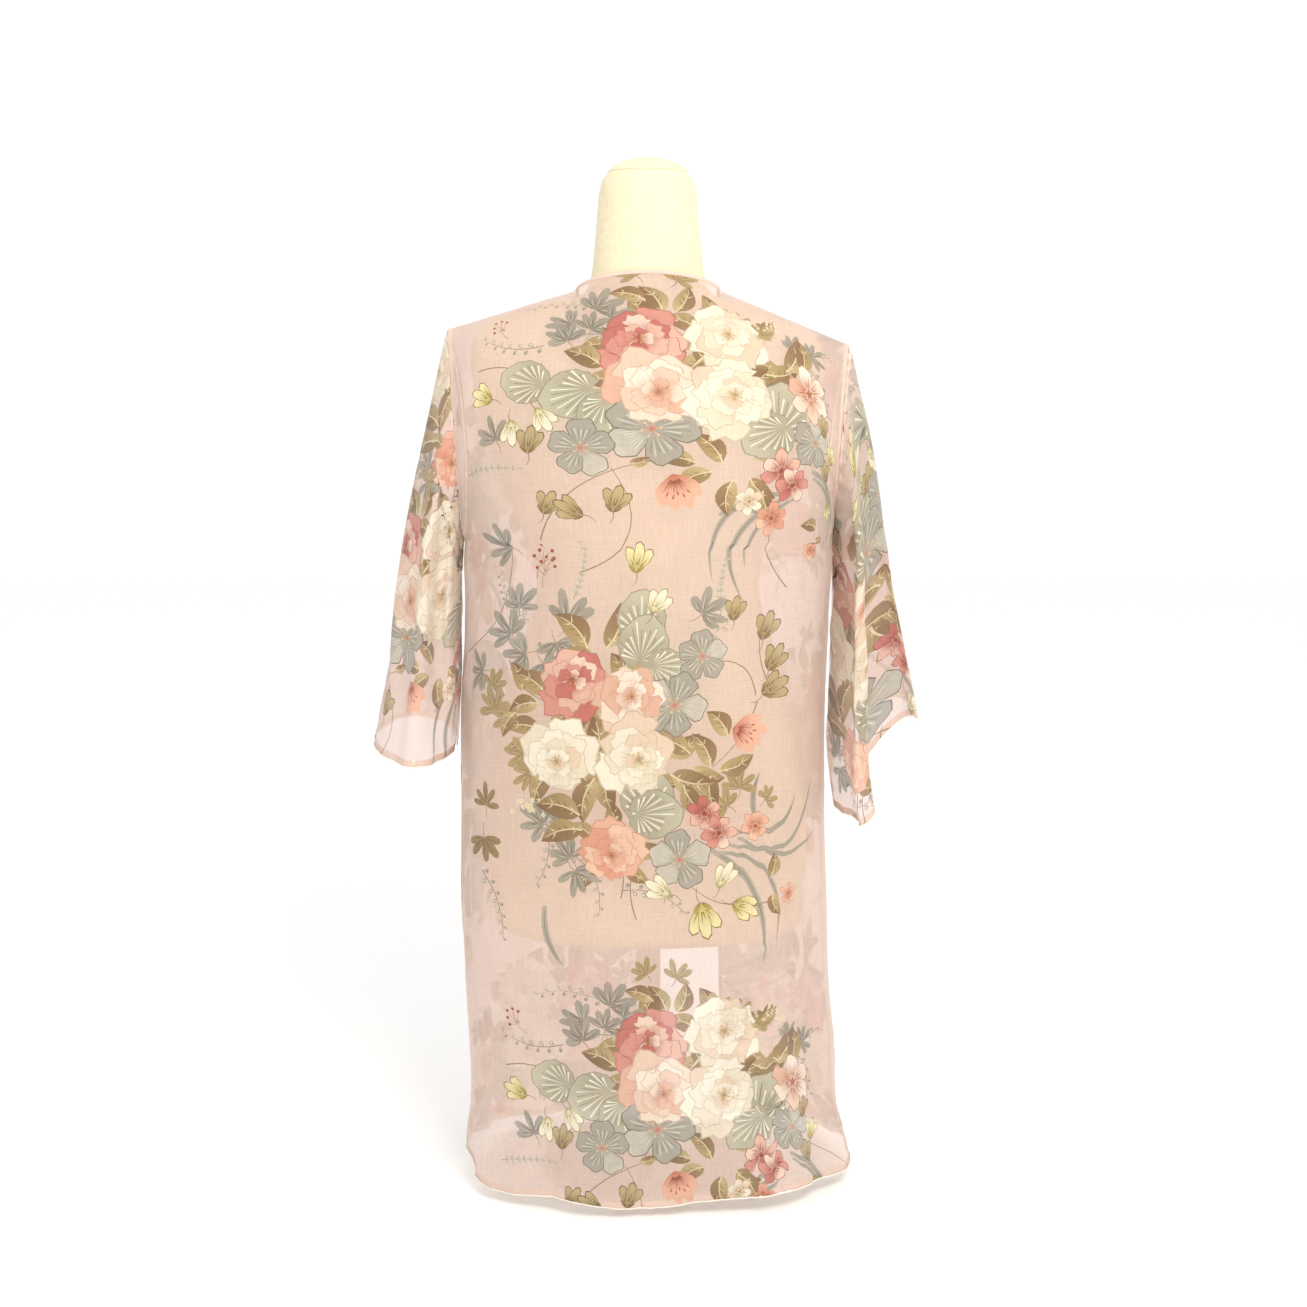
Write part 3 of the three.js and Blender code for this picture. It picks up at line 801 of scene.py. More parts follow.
def peony(pen, seed, r, palette):
    """A full flower of ruffled petals in four rounds, dark at the heart."""
    rng = random.Random(seed)
    c = PALETTES[palette]
    for count, size, spread, start, foot in PEONY_ROUNDS:
        for j in range(count):
            angle = start + 360 * j / count + rng.uniform(-11, 11)
            length = r * size * rng.uniform(0.86, 1.1) * (1 - 0.2 * math.cos(math.radians(angle)))
            p = pen.at(0, 0.2 * r, angle)
            look = (rng.uniform(0.05, 0.1), rng.choice((5, 7, 9)), rng.uniform(0, 6), 8)
            tip = rng.choice(c["tips"])
            pale = rng.uniform(0.05, 0.35) if size < 0.6 else rng.uniform(0.2, 0.55)
            base = blend(c["base"], tip, pale)
            p.fill(fan(length * 1.03, spread * 1.04, *look, foot), blend(c["edge"], tip, 0.5))
            p.fill(fan(length, spread, *look, foot), base, tip, length * 0.72)
            for k in range(3):
                lean = (k - 1 + rng.uniform(-0.4, 0.4)) * 0.52 * spread
                end = length * rng.uniform(0.62, 0.86)
                streak = blend(c["streak"], tip, 0.2)
                p.fill(ray(lean, length * max(foot, 0.15), end, r * 0.045), streak, tip, end * 1.25)
    for j in range(6):
        p = pen.at(0, 0.2 * r, 60 * j + rng.uniform(-18, 18))
        d = r * rng.uniform(0.1, 0.2)
        p.fill(ray(0, 0, d, r * 0.035), c["streak"], (200, 168, 96), d)
        p.at(0, d).fill(oval(r * 0.028, n=5), (200, 164, 90))


def bloom(pen, seed, r, palette):
    """A small open flower with a dark star in the middle."""
    rng = random.Random(seed)
    c = PALETTES[palette]
    for j in range(6):
        p = pen.at(0, 0, 60 * j + rng.uniform(-8, 8))
        length = r * rng.uniform(0.9, 1.08)
        phase = rng.uniform(0, 6)
        tip = rng.choice(c["tips"])
        p.fill(petal(length * 1.04, r * 0.84, 0.06, 4, phase, 11), c["edge"])
        shape = petal(length, r * 0.78, 0.06, 4, phase, 11)
        p.fill(shape, blend(c["base"], tip, 0.3), tip, length * 0.7)
        for i in range(3):
            lean = (i - 1) * 15
            p.fill(ray(lean, r * 0.24, r * rng.uniform(0.5, 0.78), r * 0.05), c["streak"])
    for j in range(5):
        p = pen.at(0, 0, 72 * j)
        p.fill(ray(0, 0, r * 0.24, r * 0.12), c["streak"])
        p.at(0, r * 0.24).fill(oval(r * 0.045, n=5), (200, 176, 108))


def hood(pen, seed, r):
    """A nodding salmon flower seen from the side."""
    c = PALETTES["salmon"]
    for angle, size in ((-34, 0.9), (30, 0.94), (-12, 1.06), (10, 1.0)):
        p = pen.at(0, -r * 0.4, angle)
        p.fill(petal(r * 1.5 * size, r * 0.95, 0.06, 4, seed), c["base"], c["tips"][0], r)
    for i in range(9):
        p = pen.at(0, -r * 0.3, -40 + 10 * i)
        p.fill(ray(0, r * 0.2, r * (0.6 + 0.3 * ((i * 7) % 3) / 2), r * 0.07), c["streak"])
    for i in range(5):
        p = pen.at((i - 2) * r * 0.16, r * 0.35 + (i % 2) * r * 0.14, (i - 2) * 18)
        p.fill(petal(r * 0.24, r * 0.1, n=6), (168, 92, 66))


def blue_flower(pen, seed, r):
    """Five notched grey petals with fans of white lines and a pink middle."""
    rng = random.Random(seed)
    for j in range(5):
        p = pen.at(0, 0, 72 * j + rng.uniform(-7, 7))
        length = r * rng.uniform(0.9, 1.08)
        pale = rng.random() < 0.45
        look = (0.05, 6, rng.uniform(0, 6), 9)
        p.fill(fan(length * 1.03, 33, *look), BLUE_DARK)
        p.fill(fan(length, 31, *look), BLUE, BLUE_LIGHT if pale else BLUE, length)
        for i in range(7):
            lean = (i - 3) * 7.8 + rng.uniform(-1, 1)
            ink = WHITE_INK if pale or i % 2 else BLUE_DARK
            start = r * rng.uniform(0.2, 0.32)
            p.fill(ray(lean, length * rng.uniform(0.6, 0.86), start, r * 0.055), ink, BLUE, length)
    for j in range(6):
        p = pen.at(0, 0, 60 * j)
        p.fill(ray(0, 0, r * 0.26, r * 0.08), (186, 116, 100), (222, 178, 156), r * 0.2)
        p.at(0, r * 0.22).fill(oval(r * 0.04, n=5), (216, 190, 140))


def olive_leaf(pen, seed, length):
    """A pointed leaf in two tones, with a midrib and side veins."""
    rng = random.Random(seed)
    length *= 1.12
    tone = rng.choice(OLIVE)
    width = length * rng.uniform(0.5, 0.62)
    light = rng.choice(OLIVE_LIGHT)
    rng = random.Random(seed)
    t = np.linspace(0, 1, 8)
    half = width / 2 * np.sin(PI * t**0.8) ** 0.85
    rib = LEAF_LEAN * length * 4 * t * (1 - t)
    left = np.stack([rib - half, t * length], 1)
    right = np.stack([rib + half, t * length], 1)
    middle = np.stack([rib, t * length], 1)
    halves = [left, right] if rng.random() < 0.5 else [right, left]
    pen.fill(np.concatenate([middle, halves[0][-2:0:-1]]), tone, LEAF_BLUSH, length * 1.2)
    pen.fill(np.concatenate([middle, halves[1][-2:0:-1]]), light, tone, length)
    dark = blend(tone, LEAF_BLUSH, 0.5)
    for i in range(5):
        k = (i + 0.9) / 6.6
        x = LEAF_LEAN * length * 4 * k * (1 - k)
        for side in (-1, 1):
            reach = width / 2 * math.sin(PI * k**0.8) * rng.uniform(0.75, 0.95)
            p = pen.at(x, k * length, side * 46)
            ink = dark if i % 3 else OLIVE_VEIN
            p.fill(ray(0, length * 0.04, reach, length * 0.032), ink)
    pen.fill(ribbon(middle[:-1], np.linspace(length * 0.042, length * 0.012, 7)), OLIVE_VEIN)


def round_leaf(pen, seed, r):
    """A broad heart-shaped sage leaf with white veins that fan out from its foot."""
    rng = random.Random(seed)
    a = np.radians(np.linspace(-168, 168, 24))
    up = np.maximum(np.cos(a), 0)
    rim = r * (0.9 + 0.06 * np.cos(a) + 0.2 * up**9 + 0.028 * np.sin(11 * a + seed))
    foot = [[0, -0.52 * r]]
    shape = np.concatenate([np.stack([rim * np.sin(a), rim * np.cos(a)], 1)[::-1], foot])
    pen.fill(shape * 1.035, SAGE_DARK)
    pen.fill(shape, blend(SAGE, SAGE_DARK, 0.4), SAGE, r)
    veins = pen.at(0, -0.52 * r)
    for i in range(21):
        lean = (i - 10) * 8.4
        reach = 1.5 * r * math.cos(math.radians(lean * 0.72))
        start = reach * rng.uniform(0.1, 0.2)
        end = reach * rng.uniform(0.66, 0.96)
        if i % 2:
            veins.fill(ray(lean, end * 0.98, start, r * 0.035), SAGE_DARK)
        else:
            faded = blend(WHITE_INK, SAGE, 0.4)
            veins.fill(ray(lean, end, start, r * 0.075), WHITE_INK, faded, reach)


def star_leaf(pen, seed, r, tones):
    """A sprig of five pointed leaflets, each with light lines."""
    colours = STAR_INKS[tones]
    rng = random.Random(seed)
    for j in range(5):
        p = pen.at(0, 0, -80 + 40 * j + rng.uniform(-8, 8))
        length = r * (0.66 + 0.32 * math.sin(PI * (j + 0.5) / 5)) * rng.uniform(0.88, 1.12)
        tone = blend(colours[0], colours[2], rng.uniform(0, 0.5))
        shape = petal(length, r * rng.uniform(0.32, 0.44), n=9, narrow=0.3)
        p.fill(shape, tone, blend(tone, colours[1], 0.4), length)
        for lean in (-6, 6):
            ink = colours[1] if lean < 0 else colours[2]
            p.fill(ray(lean, r * 0.2, length * rng.uniform(0.6, 0.85), r * 0.04), ink)
    stem(pen, 0, 0, 0, -r * 0.5, 0.1, 0.9)


def bud(pen, _, r, tones):
    """A half-open bud of pointed petals in a small cup."""
    inks = BUD_INKS[tones]
    for angle, size in ((-28, 0.9), (26, 0.94), (0, 1.06)):
        p = pen.at(0, 0, angle)
        length = r * 1.3 * size
        p.fill(petal(length * 1.05, r * 0.62, n=9, narrow=0.3), inks[2])
        p.fill(petal(length, r * 0.55, n=9, narrow=0.3), inks[1], inks[0], r)
        for i in (-1, 1):
            p.fill(ray(i * 6, r * 0.3, r * (0.8 + 0.1 * i), r * 0.06), inks[2])
    for angle in (-46, 38):
        cup = pen.at(0, -r * 0.1, angle)
        cup.fill(petal(r * 0.56, r * 0.24, n=7, narrow=0.3), inks[2], inks[1], r * 0.6)
    stem(pen, 0, 0, 0, -r * 0.7, 0.15, 1.0)


def beads(pen, seed, x1, y1, bend, count):
    """Small bells on both sides of a curved stem."""
    points = stem(pen, 0, 0, x1, y1, bend, 0.9, BLUE_DARK, BLUE, 12)
    rng = random.Random(seed)
    for j in range(count):
        k = (j + 0.6) / count
        x, y, along = along_stem(points, k)
        p = pen.at(x, y, along + (1 if j % 2 else -1) * rng.uniform(48, 70))
        size = BEAD_R * (1.15 - 0.45 * k)
        p.fill(ray(0, 0, size * 1.2, 0.6), BLUE_DARK)
        p.at(0, size * 1.7).fill(oval(size, 0.8, 7), BLUE, BLUE_DARK, size)
        if j % 2:
            p.at(size * 0.1, size * 1.9).fill(oval(size * 0.5, 0.6, 4), WHITE_INK)


def fern(pen, seed, x1, y1, bend, pairs):
    """Pairs of small leaflets along a curved stem."""
    points = stem(pen, 0, 0, x1, y1, bend, 0.9, BLUE_DARK, BLUE, 12)
    rng = random.Random(seed)
    for j in range(pairs):
        k = (j + 0.7) / pairs
        x, y, along = along_stem(points, k)
        for side in (-1, 1):
            p = pen.at(x, y, along + side * rng.uniform(42, 60))
            length = LEAFLET * (1.15 - 0.5 * k)
            p.fill(petal(length, length * 0.4, n=8, narrow=0.25), BLUE, BLUE_LIGHT, length)
            if j % 2:
                p.fill(ray(0, 0.8, length * 0.8, 0.4), BLUE_DARK)


def berries(pen, seed, size):
    """Five red berries on thin stalks."""
    pen = pen.at(0, 0, 0, size)
    rng = random.Random(seed)
    stem(pen, 0, 0, 2, 26, 0.12, 0.7, BERRY_STALK, None, 6)
    for x, y in ((-7, 26), (-2, 32), (5, 30), (9, 24), (-10, 19)):
        stem(pen, 1, 14 + rng.uniform(-3, 3), x, y, 0.1, 0.6, BERRY_STALK, None, 4)
        pen.at(x, y).fill(oval(1.9, n=8), (146, 62, 58), (184, 108, 94), 2)


def crumbs(pen, seed, size):
    """A spray of tiny cream flowers."""
    pen = pen.at(0, 0, 0, size)
    rng = random.Random(seed)
    a = np.arange(10) * PI / 5
    star = np.where(np.arange(10) % 2, 1.5, 3.0)[:, None] * np.stack([np.sin(a), np.cos(a)], 1)
    for _ in range(14):
        p = pen.at(rng.uniform(-17, 17), rng.uniform(-8, 8), rng.uniform(0, 72))
        p.fill(star * rng.uniform(0.8, 1.1), (228, 216, 184))
        p.fill(oval(0.7, n=5), (176, 144, 96))


def blade(pen, _, x1, y1, bend, width):
    """A long thin leaf with two dark lines."""
    points = arc(0, 0, x1, y1, bend, 26)
    t = np.linspace(0, 1, 26)
    wide = 0.95 * width * np.sin(PI * (0.16 + 0.82 * t)) ** 0.9 + 0.3
    pen.fill(ribbon(points, wide), BLUE, blend(BLUE, BLUE_DARK, 0.4), abs(y1) + 1)
    for share in (-0.22, 0.2):
        side = np.stack([0 * t, share * wide], 1)
        pen.fill(ribbon(points[2:-3] + side[2:-3], wide[2:-3] * 0.1), BLUE_DARK)


# The two bouquets, in drawing order. Each row: x and y from the middle (y up), turn, what is left
BOUQUET_A = [
    ("blade", [
        (82, -90, 0, -36, -103, -0.3, 6), (84, -92, 0, -69, -78, -0.34, 6),
        (80, -96, 0, -34, -63, -0.2, 5), (94, -72, 0, 52, -56, 0.16, 7),
        (96, -78, 0, 43, -72, 0.2, 5), (14, -110, 0, 38, -4, 0.2, 5),
    ]),
    ("stem", [
        (-120, 16, 0, -70, 8, 0.1), (-40, -60, 0, -100, -74, 0.12), (-70, -66, 0, -40, -98, -0.3),
        (-176, -140, 0, -76, -108, -0.2), (60, -110, 0, 30, -70, 0.1),
        (110, -56, 0, 128, -132, -0.1),
    ]),
    ("fern", [(-200, -74, 0, 60, 6, 0.05, 9), (-60, 66, 0, -66, 12, 0.1, 9)]),
    ("beads", [
        (-126, 52, 0, -66, 6, 0.12, 12), (-82, 96, 0, -70, 2, -0.12, 12),
        (84, 58, 0, 62, -8, -0.2, 12), (106, 34, 0, 24, -50, 0.1, 9),
    ]),
    ("star", [
        (-78, 92, 40, 30, "grey"), (-104, 76, -60, 26, "grey"), (-66, 80, 100, 24, "grey"),
        (-106, 58, -30, 26, "grey"), (-84, 70, 20, 24, "grey"), (-162, -42, -20, 24, "grey"),
        (-176, -142, -60, 28, "grey"), (96, 46, 30, 22, "grey"), (118, 40, 70, 20, "grey"),
        (-42, 124, -30, 18, "olive"), (-14, 120, 30, 20, "olive"), (20, 86, 10, 22, "olive"),
        (42, 76, 60, 20, "olive"), (64, 64, 40, 16, "olive"),
    ]),
    ("berries", [(-164, 58, -40, 0.9), (-150, -170, 20, 1)]),
    ("crumbs", [(74, 74, 0, 0.8)]),
    ("leaf", [
        (-24, 84, -30, 30), (-14, 86, 18, 28), (-36, 98, -70, 26), (-4, 74, 50, 24),
        (-74, 30, -64, 34), (-80, 14, -108, 32), (-62, 40, -20, 30), (-58, 8, -140, 34),
        (-44, -6, 160, 28), (0, 34, 20, 42), (14, 14, 70, 36), (28, 26, 96, 36), (56, 22, 80, 36),
        (78, 24, 40, 40), (100, 22, 12, 32), (84, 6, 120, 30), (64, 4, 100, 32), (14, -28, -60, 28),
        (24, -42, 10, 34), (36, -56, 60, 32), (14, -62, -40, 32), (6, -70, -120, 28),
        (22, -78, 180, 30), (36, -76, 130, 28), (-6, -62, -84, 26), (48, -88, 150, 24),
    ]),
    ("round", [
        (-136, 14, -80, 23), (-96, 4, -110, 26), (-74, -14, 190, 22), (62, -20, 20, 30),
        (54, -36, -120, 24),
    ]),
    ("blue", [(-38, -30, 20, 34), (-92, -48, 0, 26), (100, -44, 10, 26)]),
    ("hood", [(-22, -80, 168, 21)]),
    ("peony", [
        (-40, 52, -30, 36, "rose"), (28, 58, 20, 38, "cream"), (-34, 12, 160, 36, "pink"),
        (20, 0, 70, 36, "cream"),
    ]),
    ("bloom", [
        (102, 2, 0, 28, "pink"), (62, -70, 0, 19, "rose"), (74, -84, 30, 16, "rose"),
        (60, -114, 60, 15, "salmon"), (38, -98, 0, 13, "cream"),
    ]),
    ("bud", [
        (-170, -4, -70, 18, "gold"), (-148, -24, 176, 17, "white"), (-126, -12, 150, 17, "white"),
        (-134, -52, 10, 18, "olive"), (-130, -108, 34, 17, "olive"), (-98, -110, -60, 18, "olive"),
        (-72, -106, 20, 18, "olive"), (118, -36, 0, 15, "olive"), (128, -60, 20, 15, "gold"),
        (120, -80, -10, 15, "olive"), (128, -100, 170, 14, "gold"),
    ]),
    ("leaf", [(-56, -62, 70, 15), (114, -126, -80, 20), (122, -132, 170, 18)]),
    ("bloom", [(118, -146, 0, 10, "salmon")]),
]
BOUQUET_B = [
    ("blade", [
        (82, -88, 0, 52, -121, 0.16, 7), (86, -92, 0, 63, -96, 0.26, 5),
        (98, -86, 0, 103, 52, -0.3, 5), (104, -74, 0, 72, 29, -0.24, 6),
        (110, -82, 0, 99, 0, -0.2, 5), (128, -66, 0, 4, 45, 0.1, 6),
        (-76, -146, 0, 16, -58, -0.12, 7),
    ]),
    ("stem", [
        (6, 20, 0, 22, 120, 0.04), (84, -10, 0, 44, 60, 0.1), (74, 90, 0, 52, -34, -0.24),
        (128, 120, 0, 14, -60, 0.1), (-60, 50, 0, -54, 40, -0.16), (-10, -76, 0, 8, -60, -0.1),
        (20, -86, 0, -8, -70, 0.12), (60, -120, 0, 90, -30, 0.12),
    ]),
    ("fern", [(-50, 150, 0, 10, 54, -0.06, 9), (88, 134, 0, 4, 54, 0.05, 9)]),
    ("beads", [
        (-94, 128, 0, -32, 44, 0.14, 16), (-86, 100, 0, 32, -10, 0.2, 9),
        (-74, -60, 0, -10, -66, 0.12, 13), (-56, -90, 0, 32, -64, 0.2, 12),
        (0, -128, 0, 60, -24, 0.14, 13), (-146, -118, 0, 24, -66, 0.12, 13),
        (60, 112, 0, 40, 20, -0.1, 8),
    ]),
    ("star", [
        (-112, 114, -40, 30, "grey"), (-96, 96, -100, 28, "grey"), (-78, 88, 150, 30, "grey"),
        (-104, 140, 10, 26, "grey"), (-56, 128, 30, 32, "grey"), (-66, 108, 160, 26, "grey"),
        (70, 136, 60, 28, "grey"), (-146, 76, -90, 28, "grey"), (-132, 62, 30, 22, "olive"),
        (-128, 40, -20, 26, "olive"), (-112, 34, -80, 22, "olive"), (-96, 0, -80, 22, "olive"),
        (-90, -18, -120, 22, "olive"), (-140, -54, 0, 22, "brown"), (-142, -86, 180, 28, "brown"),
        (112, -34, 10, 24, "olive"), (100, -50, -50, 22, "olive"), (138, -48, 40, 18, "olive"),
        (-76, -66, -60, 28, "grey"), (-64, -64, 60, 30, "grey"), (-50, -98, -30, 26, "grey"),
        (-46, -110, 150, 26, "grey"),
    ]),
    ("crumbs", [(-92, -50, 0, 1)]),
    ("leaf", [
        (-36, 104, -46, 40), (-18, 104, 16, 40), (-28, 84, -70, 34), (-6, 84, 40, 30),
        (-98, 60, -26, 28), (-82, 50, -110, 28), (-74, 58, -60, 34), (-70, 36, 120, 30),
        (-78, 24, -90, 34), (-104, 40, -150, 26), (-20, 40, -10, 36), (-24, 22, 30, 34),
        (-28, -10, 0, 46), (-14, -16, 170, 34), (-26, -20, 194, 40), (-40, -56, -80, 40),
        (-38, -70, -108, 38), (-4, -56, 190, 30), (40, 4, 60, 34), (64, 4, -70, 34),
        (66, -10, 110, 30), (84, -10, -30, 34), (92, -14, 70, 32), (84, -18, 170, 30),
        (46, -16, 100, 38), (58, -26, 140, 34), (100, 18, -40, 30),
    ]),
    ("round", [
        (14, 130, 0, 25), (16, 106, 10, 26), (36, 84, 110, 22), (24, -40, 0, 28), (28, -54, 90, 26),
    ]),
    ("blue", [(72, 96, 0, 25), (48, 50, 20, 32), (54, -98, 0, 29)]),
    ("hood", [(112, 22, 110, 22)]),
    ("peony", [
        (-46, 68, -20, 33, "rose"), (4, 52, 30, 35, "pink"), (-60, 2, 200, 35, "cream"),
        (10, 2, 120, 36, "cream"), (-10, -88, 180, 31, "salmon"),
    ]),
    ("bloom", [(78, -54, 0, 17, "rose"), (92, -74, 30, 17, "rose"), (128, -72, 10, 15, "salmon")]),
    ("bud", [
        (24, 138, 30, 18, "white"), (130, 110, 20, 20, "olive"), (138, 80, 30, 20, "olive"),
        (134, 56, 60, 22, "olive"), (100, 130, 10, 16, "olive"), (8, 176, 10, 20, "gold"),
        (74, -142, 170, 25, "gold"), (44, -132, -60, 19, "white"), (106, -146, 120, 20, "gold"),
        (92, -126, 30, 18, "white"),
    ]),
    ("leaf", [(144, -124, 10, 22), (146, -140, 160, 22)]),
    ("bloom", [(166, -142, 0, 11, "salmon")]),
    ("berries", [(-80, 160, 10, 0.9)]),
]


def stalk(pen, _, x, y, bend):
    stem(pen, x, y, 0, 0, bend, 1.3)


KINDS = {
    "peony": peony,
    "bloom": bloom,
    "hood": hood,
    "blue": blue_flower,
    "leaf": olive_leaf,
    "round": round_leaf,
    "star": star_leaf,
    "bud": bud,
    "beads": beads,
    "fern": fern,
    "berries": berries,
    "crumbs": crumbs,
    "blade": blade,
    "stem": stalk,
}


def draw_bouquet(bouquet, x, y, angle):
    """A bouquet's shapes: leaves under each peony, then its rows in their order."""
    shapes = []
    base = Pen(shapes, x, y, angle)
    rng = random.Random(7)
    rows = [(kind, *row) for kind, group in bouquet for row in group]
    for kind, dx, dy, _, *rest in rows:
        if kind == "peony":
            for j in range(5):
                under = base.at(dx, dy, 72 * j + rng.uniform(-24, 24))
                olive_leaf(under.at(0, rest[0] * 0.6), j, rest[0] * rng.uniform(0.75, 0.95))
    for k, (kind, dx, dy, spin, *rest) in enumerate(rows):
        KINDS[kind](base.at(dx, dy, spin), k + 1, *rest)
    return shapes


def inside(points, outline):
    """Which points lie inside a closed outline."""
    hit = np.zeros(len(points), bool)
    x, y = points[:, 0], points[:, 1]
    for (ax, ay), (bx, by) in zip(outline, np.roll(outline, -1, 0)):
        if ay != by:
            hit ^= ((ay > y) != (by > y)) & (x < (bx - ax) * (y - ay) / (by - ay) + ax)
    return hit


def in_sight(shapes):
    """The shapes that no single later shape hides."""
    low = np.array([s[0].min(0) for s in shapes])
    high = np.array([s[0].max(0) for s in shapes])
    seen = np.ones(len(shapes), bool)
    for j in range(len(shapes) - 1, 0, -1):
        outline = shapes[j][0]
        if not seen[j] or len(outline) < 7 or (high[j] - low[j]).min() < 4:
            continue
        under = seen[:j] & (low[:j] >= low[j]).all(1) & (high[:j] <= high[j]).all(1)
        for i in np.flatnonzero(under):
            seen[i] = not inside(shapes[i][0], outline).all()
    return [s for s, keep in zip(shapes, seen) if keep]


def draw_print(layout, low, high):
    """The shapes of a piece's print that can be seen within its size."""
    shapes = []
    for bouquet, x, y, angle in layout:
        shapes += draw_bouquet(bouquet, x, y, angle)
    return [s for s in in_sight(shapes) if (s[0].max(0) > low).all() and (s[0].min(0) < high).all()]


# Meshes
GRID_STEP = 9.4
# How the plan is cut: triangles out to the hull, and points this close are one
CDT_HULL = 0
CDT_CLOSE = 1e-4
# A shape whose triangles cover more than this much of its own area is left out
FLOOD_SHARE = 1.6
FLOOD_ROOM = 0.5


def new_object(name, points, faces, smooth_faces=True):
    mesh = bpy.data.meshes.new(name)
    mesh.from_pydata([tuple(p) for p in np.asarray(points) * 0.001], [], faces)
    mesh.update()
    if smooth_faces:
        mesh.shade_smooth()
    piece = bpy.data.objects.new(name, mesh)
    bpy.context.scene.collection.objects.link(piece)
    return piece


def doubled_area(outline):
    """Twice an outline's area, below zero where it runs the other way round."""
    x, y = outline[:, 0], outline[:, 1]
    return np.dot(x, np.roll(y, -1)) - np.dot(y, np.roll(x, -1))


def plan_grid(plan, outline):
    """Points inside the plan that carry its form, in staggered rows."""
    low = outline.min(0)
    high = outline.max(0)
    columns, rows = ((high - low) / GRID_STEP).astype(int)
    x, y = np.meshgrid(np.linspace(low[0], high[0], columns), np.linspace(low[1], high[1], rows))
    x[::2] += GRID_STEP / 2
    grid = np.stack([x.ravel(), y.ravel()], 1)
    if plan.name == "back":
        grid = np.concatenate([grid, crease_points()])
    return grid[inside(grid, outline)]


def cut(plan, outline, shapes):
    """Triangles of the plan, cut along the shapes, and the topmost shape of each."""
    outlines = [outline] + [s[0] for s in shapes]
    doubled = [doubled_area(shape) for shape in outlines]
    faces = []
    start = 0
    for shape, area in zip(outlines, doubled):
        ids = list(range(start, start + len(shape)))
        faces.append(ids if area > 0 else ids[::-1])
        start += len(shape)
    flat = np.concatenate(outlines + [plan_grid(plan, outline)])
    found = delaunay_2d_cdt([Vector(p) for p in flat], [], faces, CDT_HULL, CDT_CLOSE, True)
    spots = np.array([tuple(p) for p in found[0]])
    triangles = np.array([t for t in found[2]])
    a, b, c = (spots[triangles[:, k]].T for k in range(3))
    areas = abs((b[0] - a[0]) * (c[1] - a[1]) - (c[0] - a[0]) * (b[1] - a[1]))
    covered = np.zeros(len(faces))
    for area, ids in zip(areas.tolist(), found[5]):
        for k in ids:
            covered[k] += area
    sound = covered <= FLOOD_SHARE * np.abs(doubled) + FLOOD_ROOM
    within = [k for k, ids in enumerate(found[5]) if 0 in ids]
    owner = [max(k for k in found[5][i] if sound[k] or k == 0) for i in within]
    used, index = np.unique(triangles[within], return_inverse=True)
    return spots[used], index.reshape(-1, 3), np.array(owner)


def printed_cloth(plan, layout):
    """The piece's cloth: its plan cut along the print's shapes and laid on its form."""
    outline = plan.outline()
    low = outline.min(0)
    high = outline.max(0)
    shapes = draw_print(layout, low, high)
    spots, triangles, owner = cut(plan, outline, shapes)
    form, out = plan.form_of(spots[:, 0], spots[:, 1])
    corner = form[triangles]
    facing = np.cross(corner[:, 1] - corner[:, 0], corner[:, 2] - corner[:, 0])
    if (facing * out[triangles[:, 0]]).sum() < 0:
        triangles = triangles[:, ::-1]
    piece = new_object(plan.name + "_cloth", form, triangles.tolist())
    mesh = piece.data
    normals = true_normals(form, triangles, out)
    mesh.normals_split_custom_set_from_vertices([tuple(n) for n in normals])
    paint(mesh, triangles, owner, spots, shapes)
    uv = mesh.uv_layers.new(name="OFBake")
    values = (spots[triangles.ravel()] - low) / float((high - low).max())
    uv.data.foreach_set("uv", values.astype(np.float32).ravel())
    return piece


def true_normals(points, triangles, wanted):
    """The wanted normals, but the faces' own where a tight fold turns them too far away."""
    corner = points[triangles]
    across = np.cross(corner[:, 1] - corner[:, 0], corner[:, 2] - corner[:, 0])
    own = np.zeros_like(points)
    for k in range(3):
        np.add.at(own, triangles[:, k], across)
    own = unit(own)
    agree = (own * wanted).sum(1, keepdims=True)
    share = np.clip((agree - 0.5) / 0.35, 0, 1)
    return unit(wanted * share + own * (1 - share))


def paint(mesh, triangles, owner, spots, shapes):
    """Colour each corner from the shape that lies on top there."""
    ground = linear(GROUND)
    first = np.array([ground] + [s[1] for s in shapes])
    last = np.array([ground] + [s[2] for s in shapes])
    ends = np.array([[[0, 0], [0, 1]]] + [s[3] for s in shapes], float)
    alpha = np.array([GROUND_ALPHA] + [INK_ALPHA] * len(shapes))
    who = np.repeat(owner, 3)
    at = spots[triangles.ravel()]
    along = ends[who, 1] - ends[who, 0]
    k = ((at - ends[who, 0]) * along).sum(1) / np.maximum((along**2).sum(1), 1e-9)
    k = np.clip(k, 0, 1)[:, None]
    colour = first[who] * (1 - k) + last[who] * k
    values = np.concatenate([colour, alpha[who][:, None]], 1).astype(np.float32)
    layer = mesh.color_attributes.new("print", "FLOAT_COLOR", "CORNER")
    layer.data.foreach_set("color", values.ravel())


def strip(name, rows):
    """A sheet through rows of points."""
    rows = np.asarray(rows)
    count = rows.shape[1]
    faces = []
    for i in range(len(rows) - 1):
        for a in range(i * count, (i + 1) * count - 1):
            faces.append((a, a + count, a + count + 1, a + 1))
    return new_object(name, rows.reshape(-1, 3), faces)


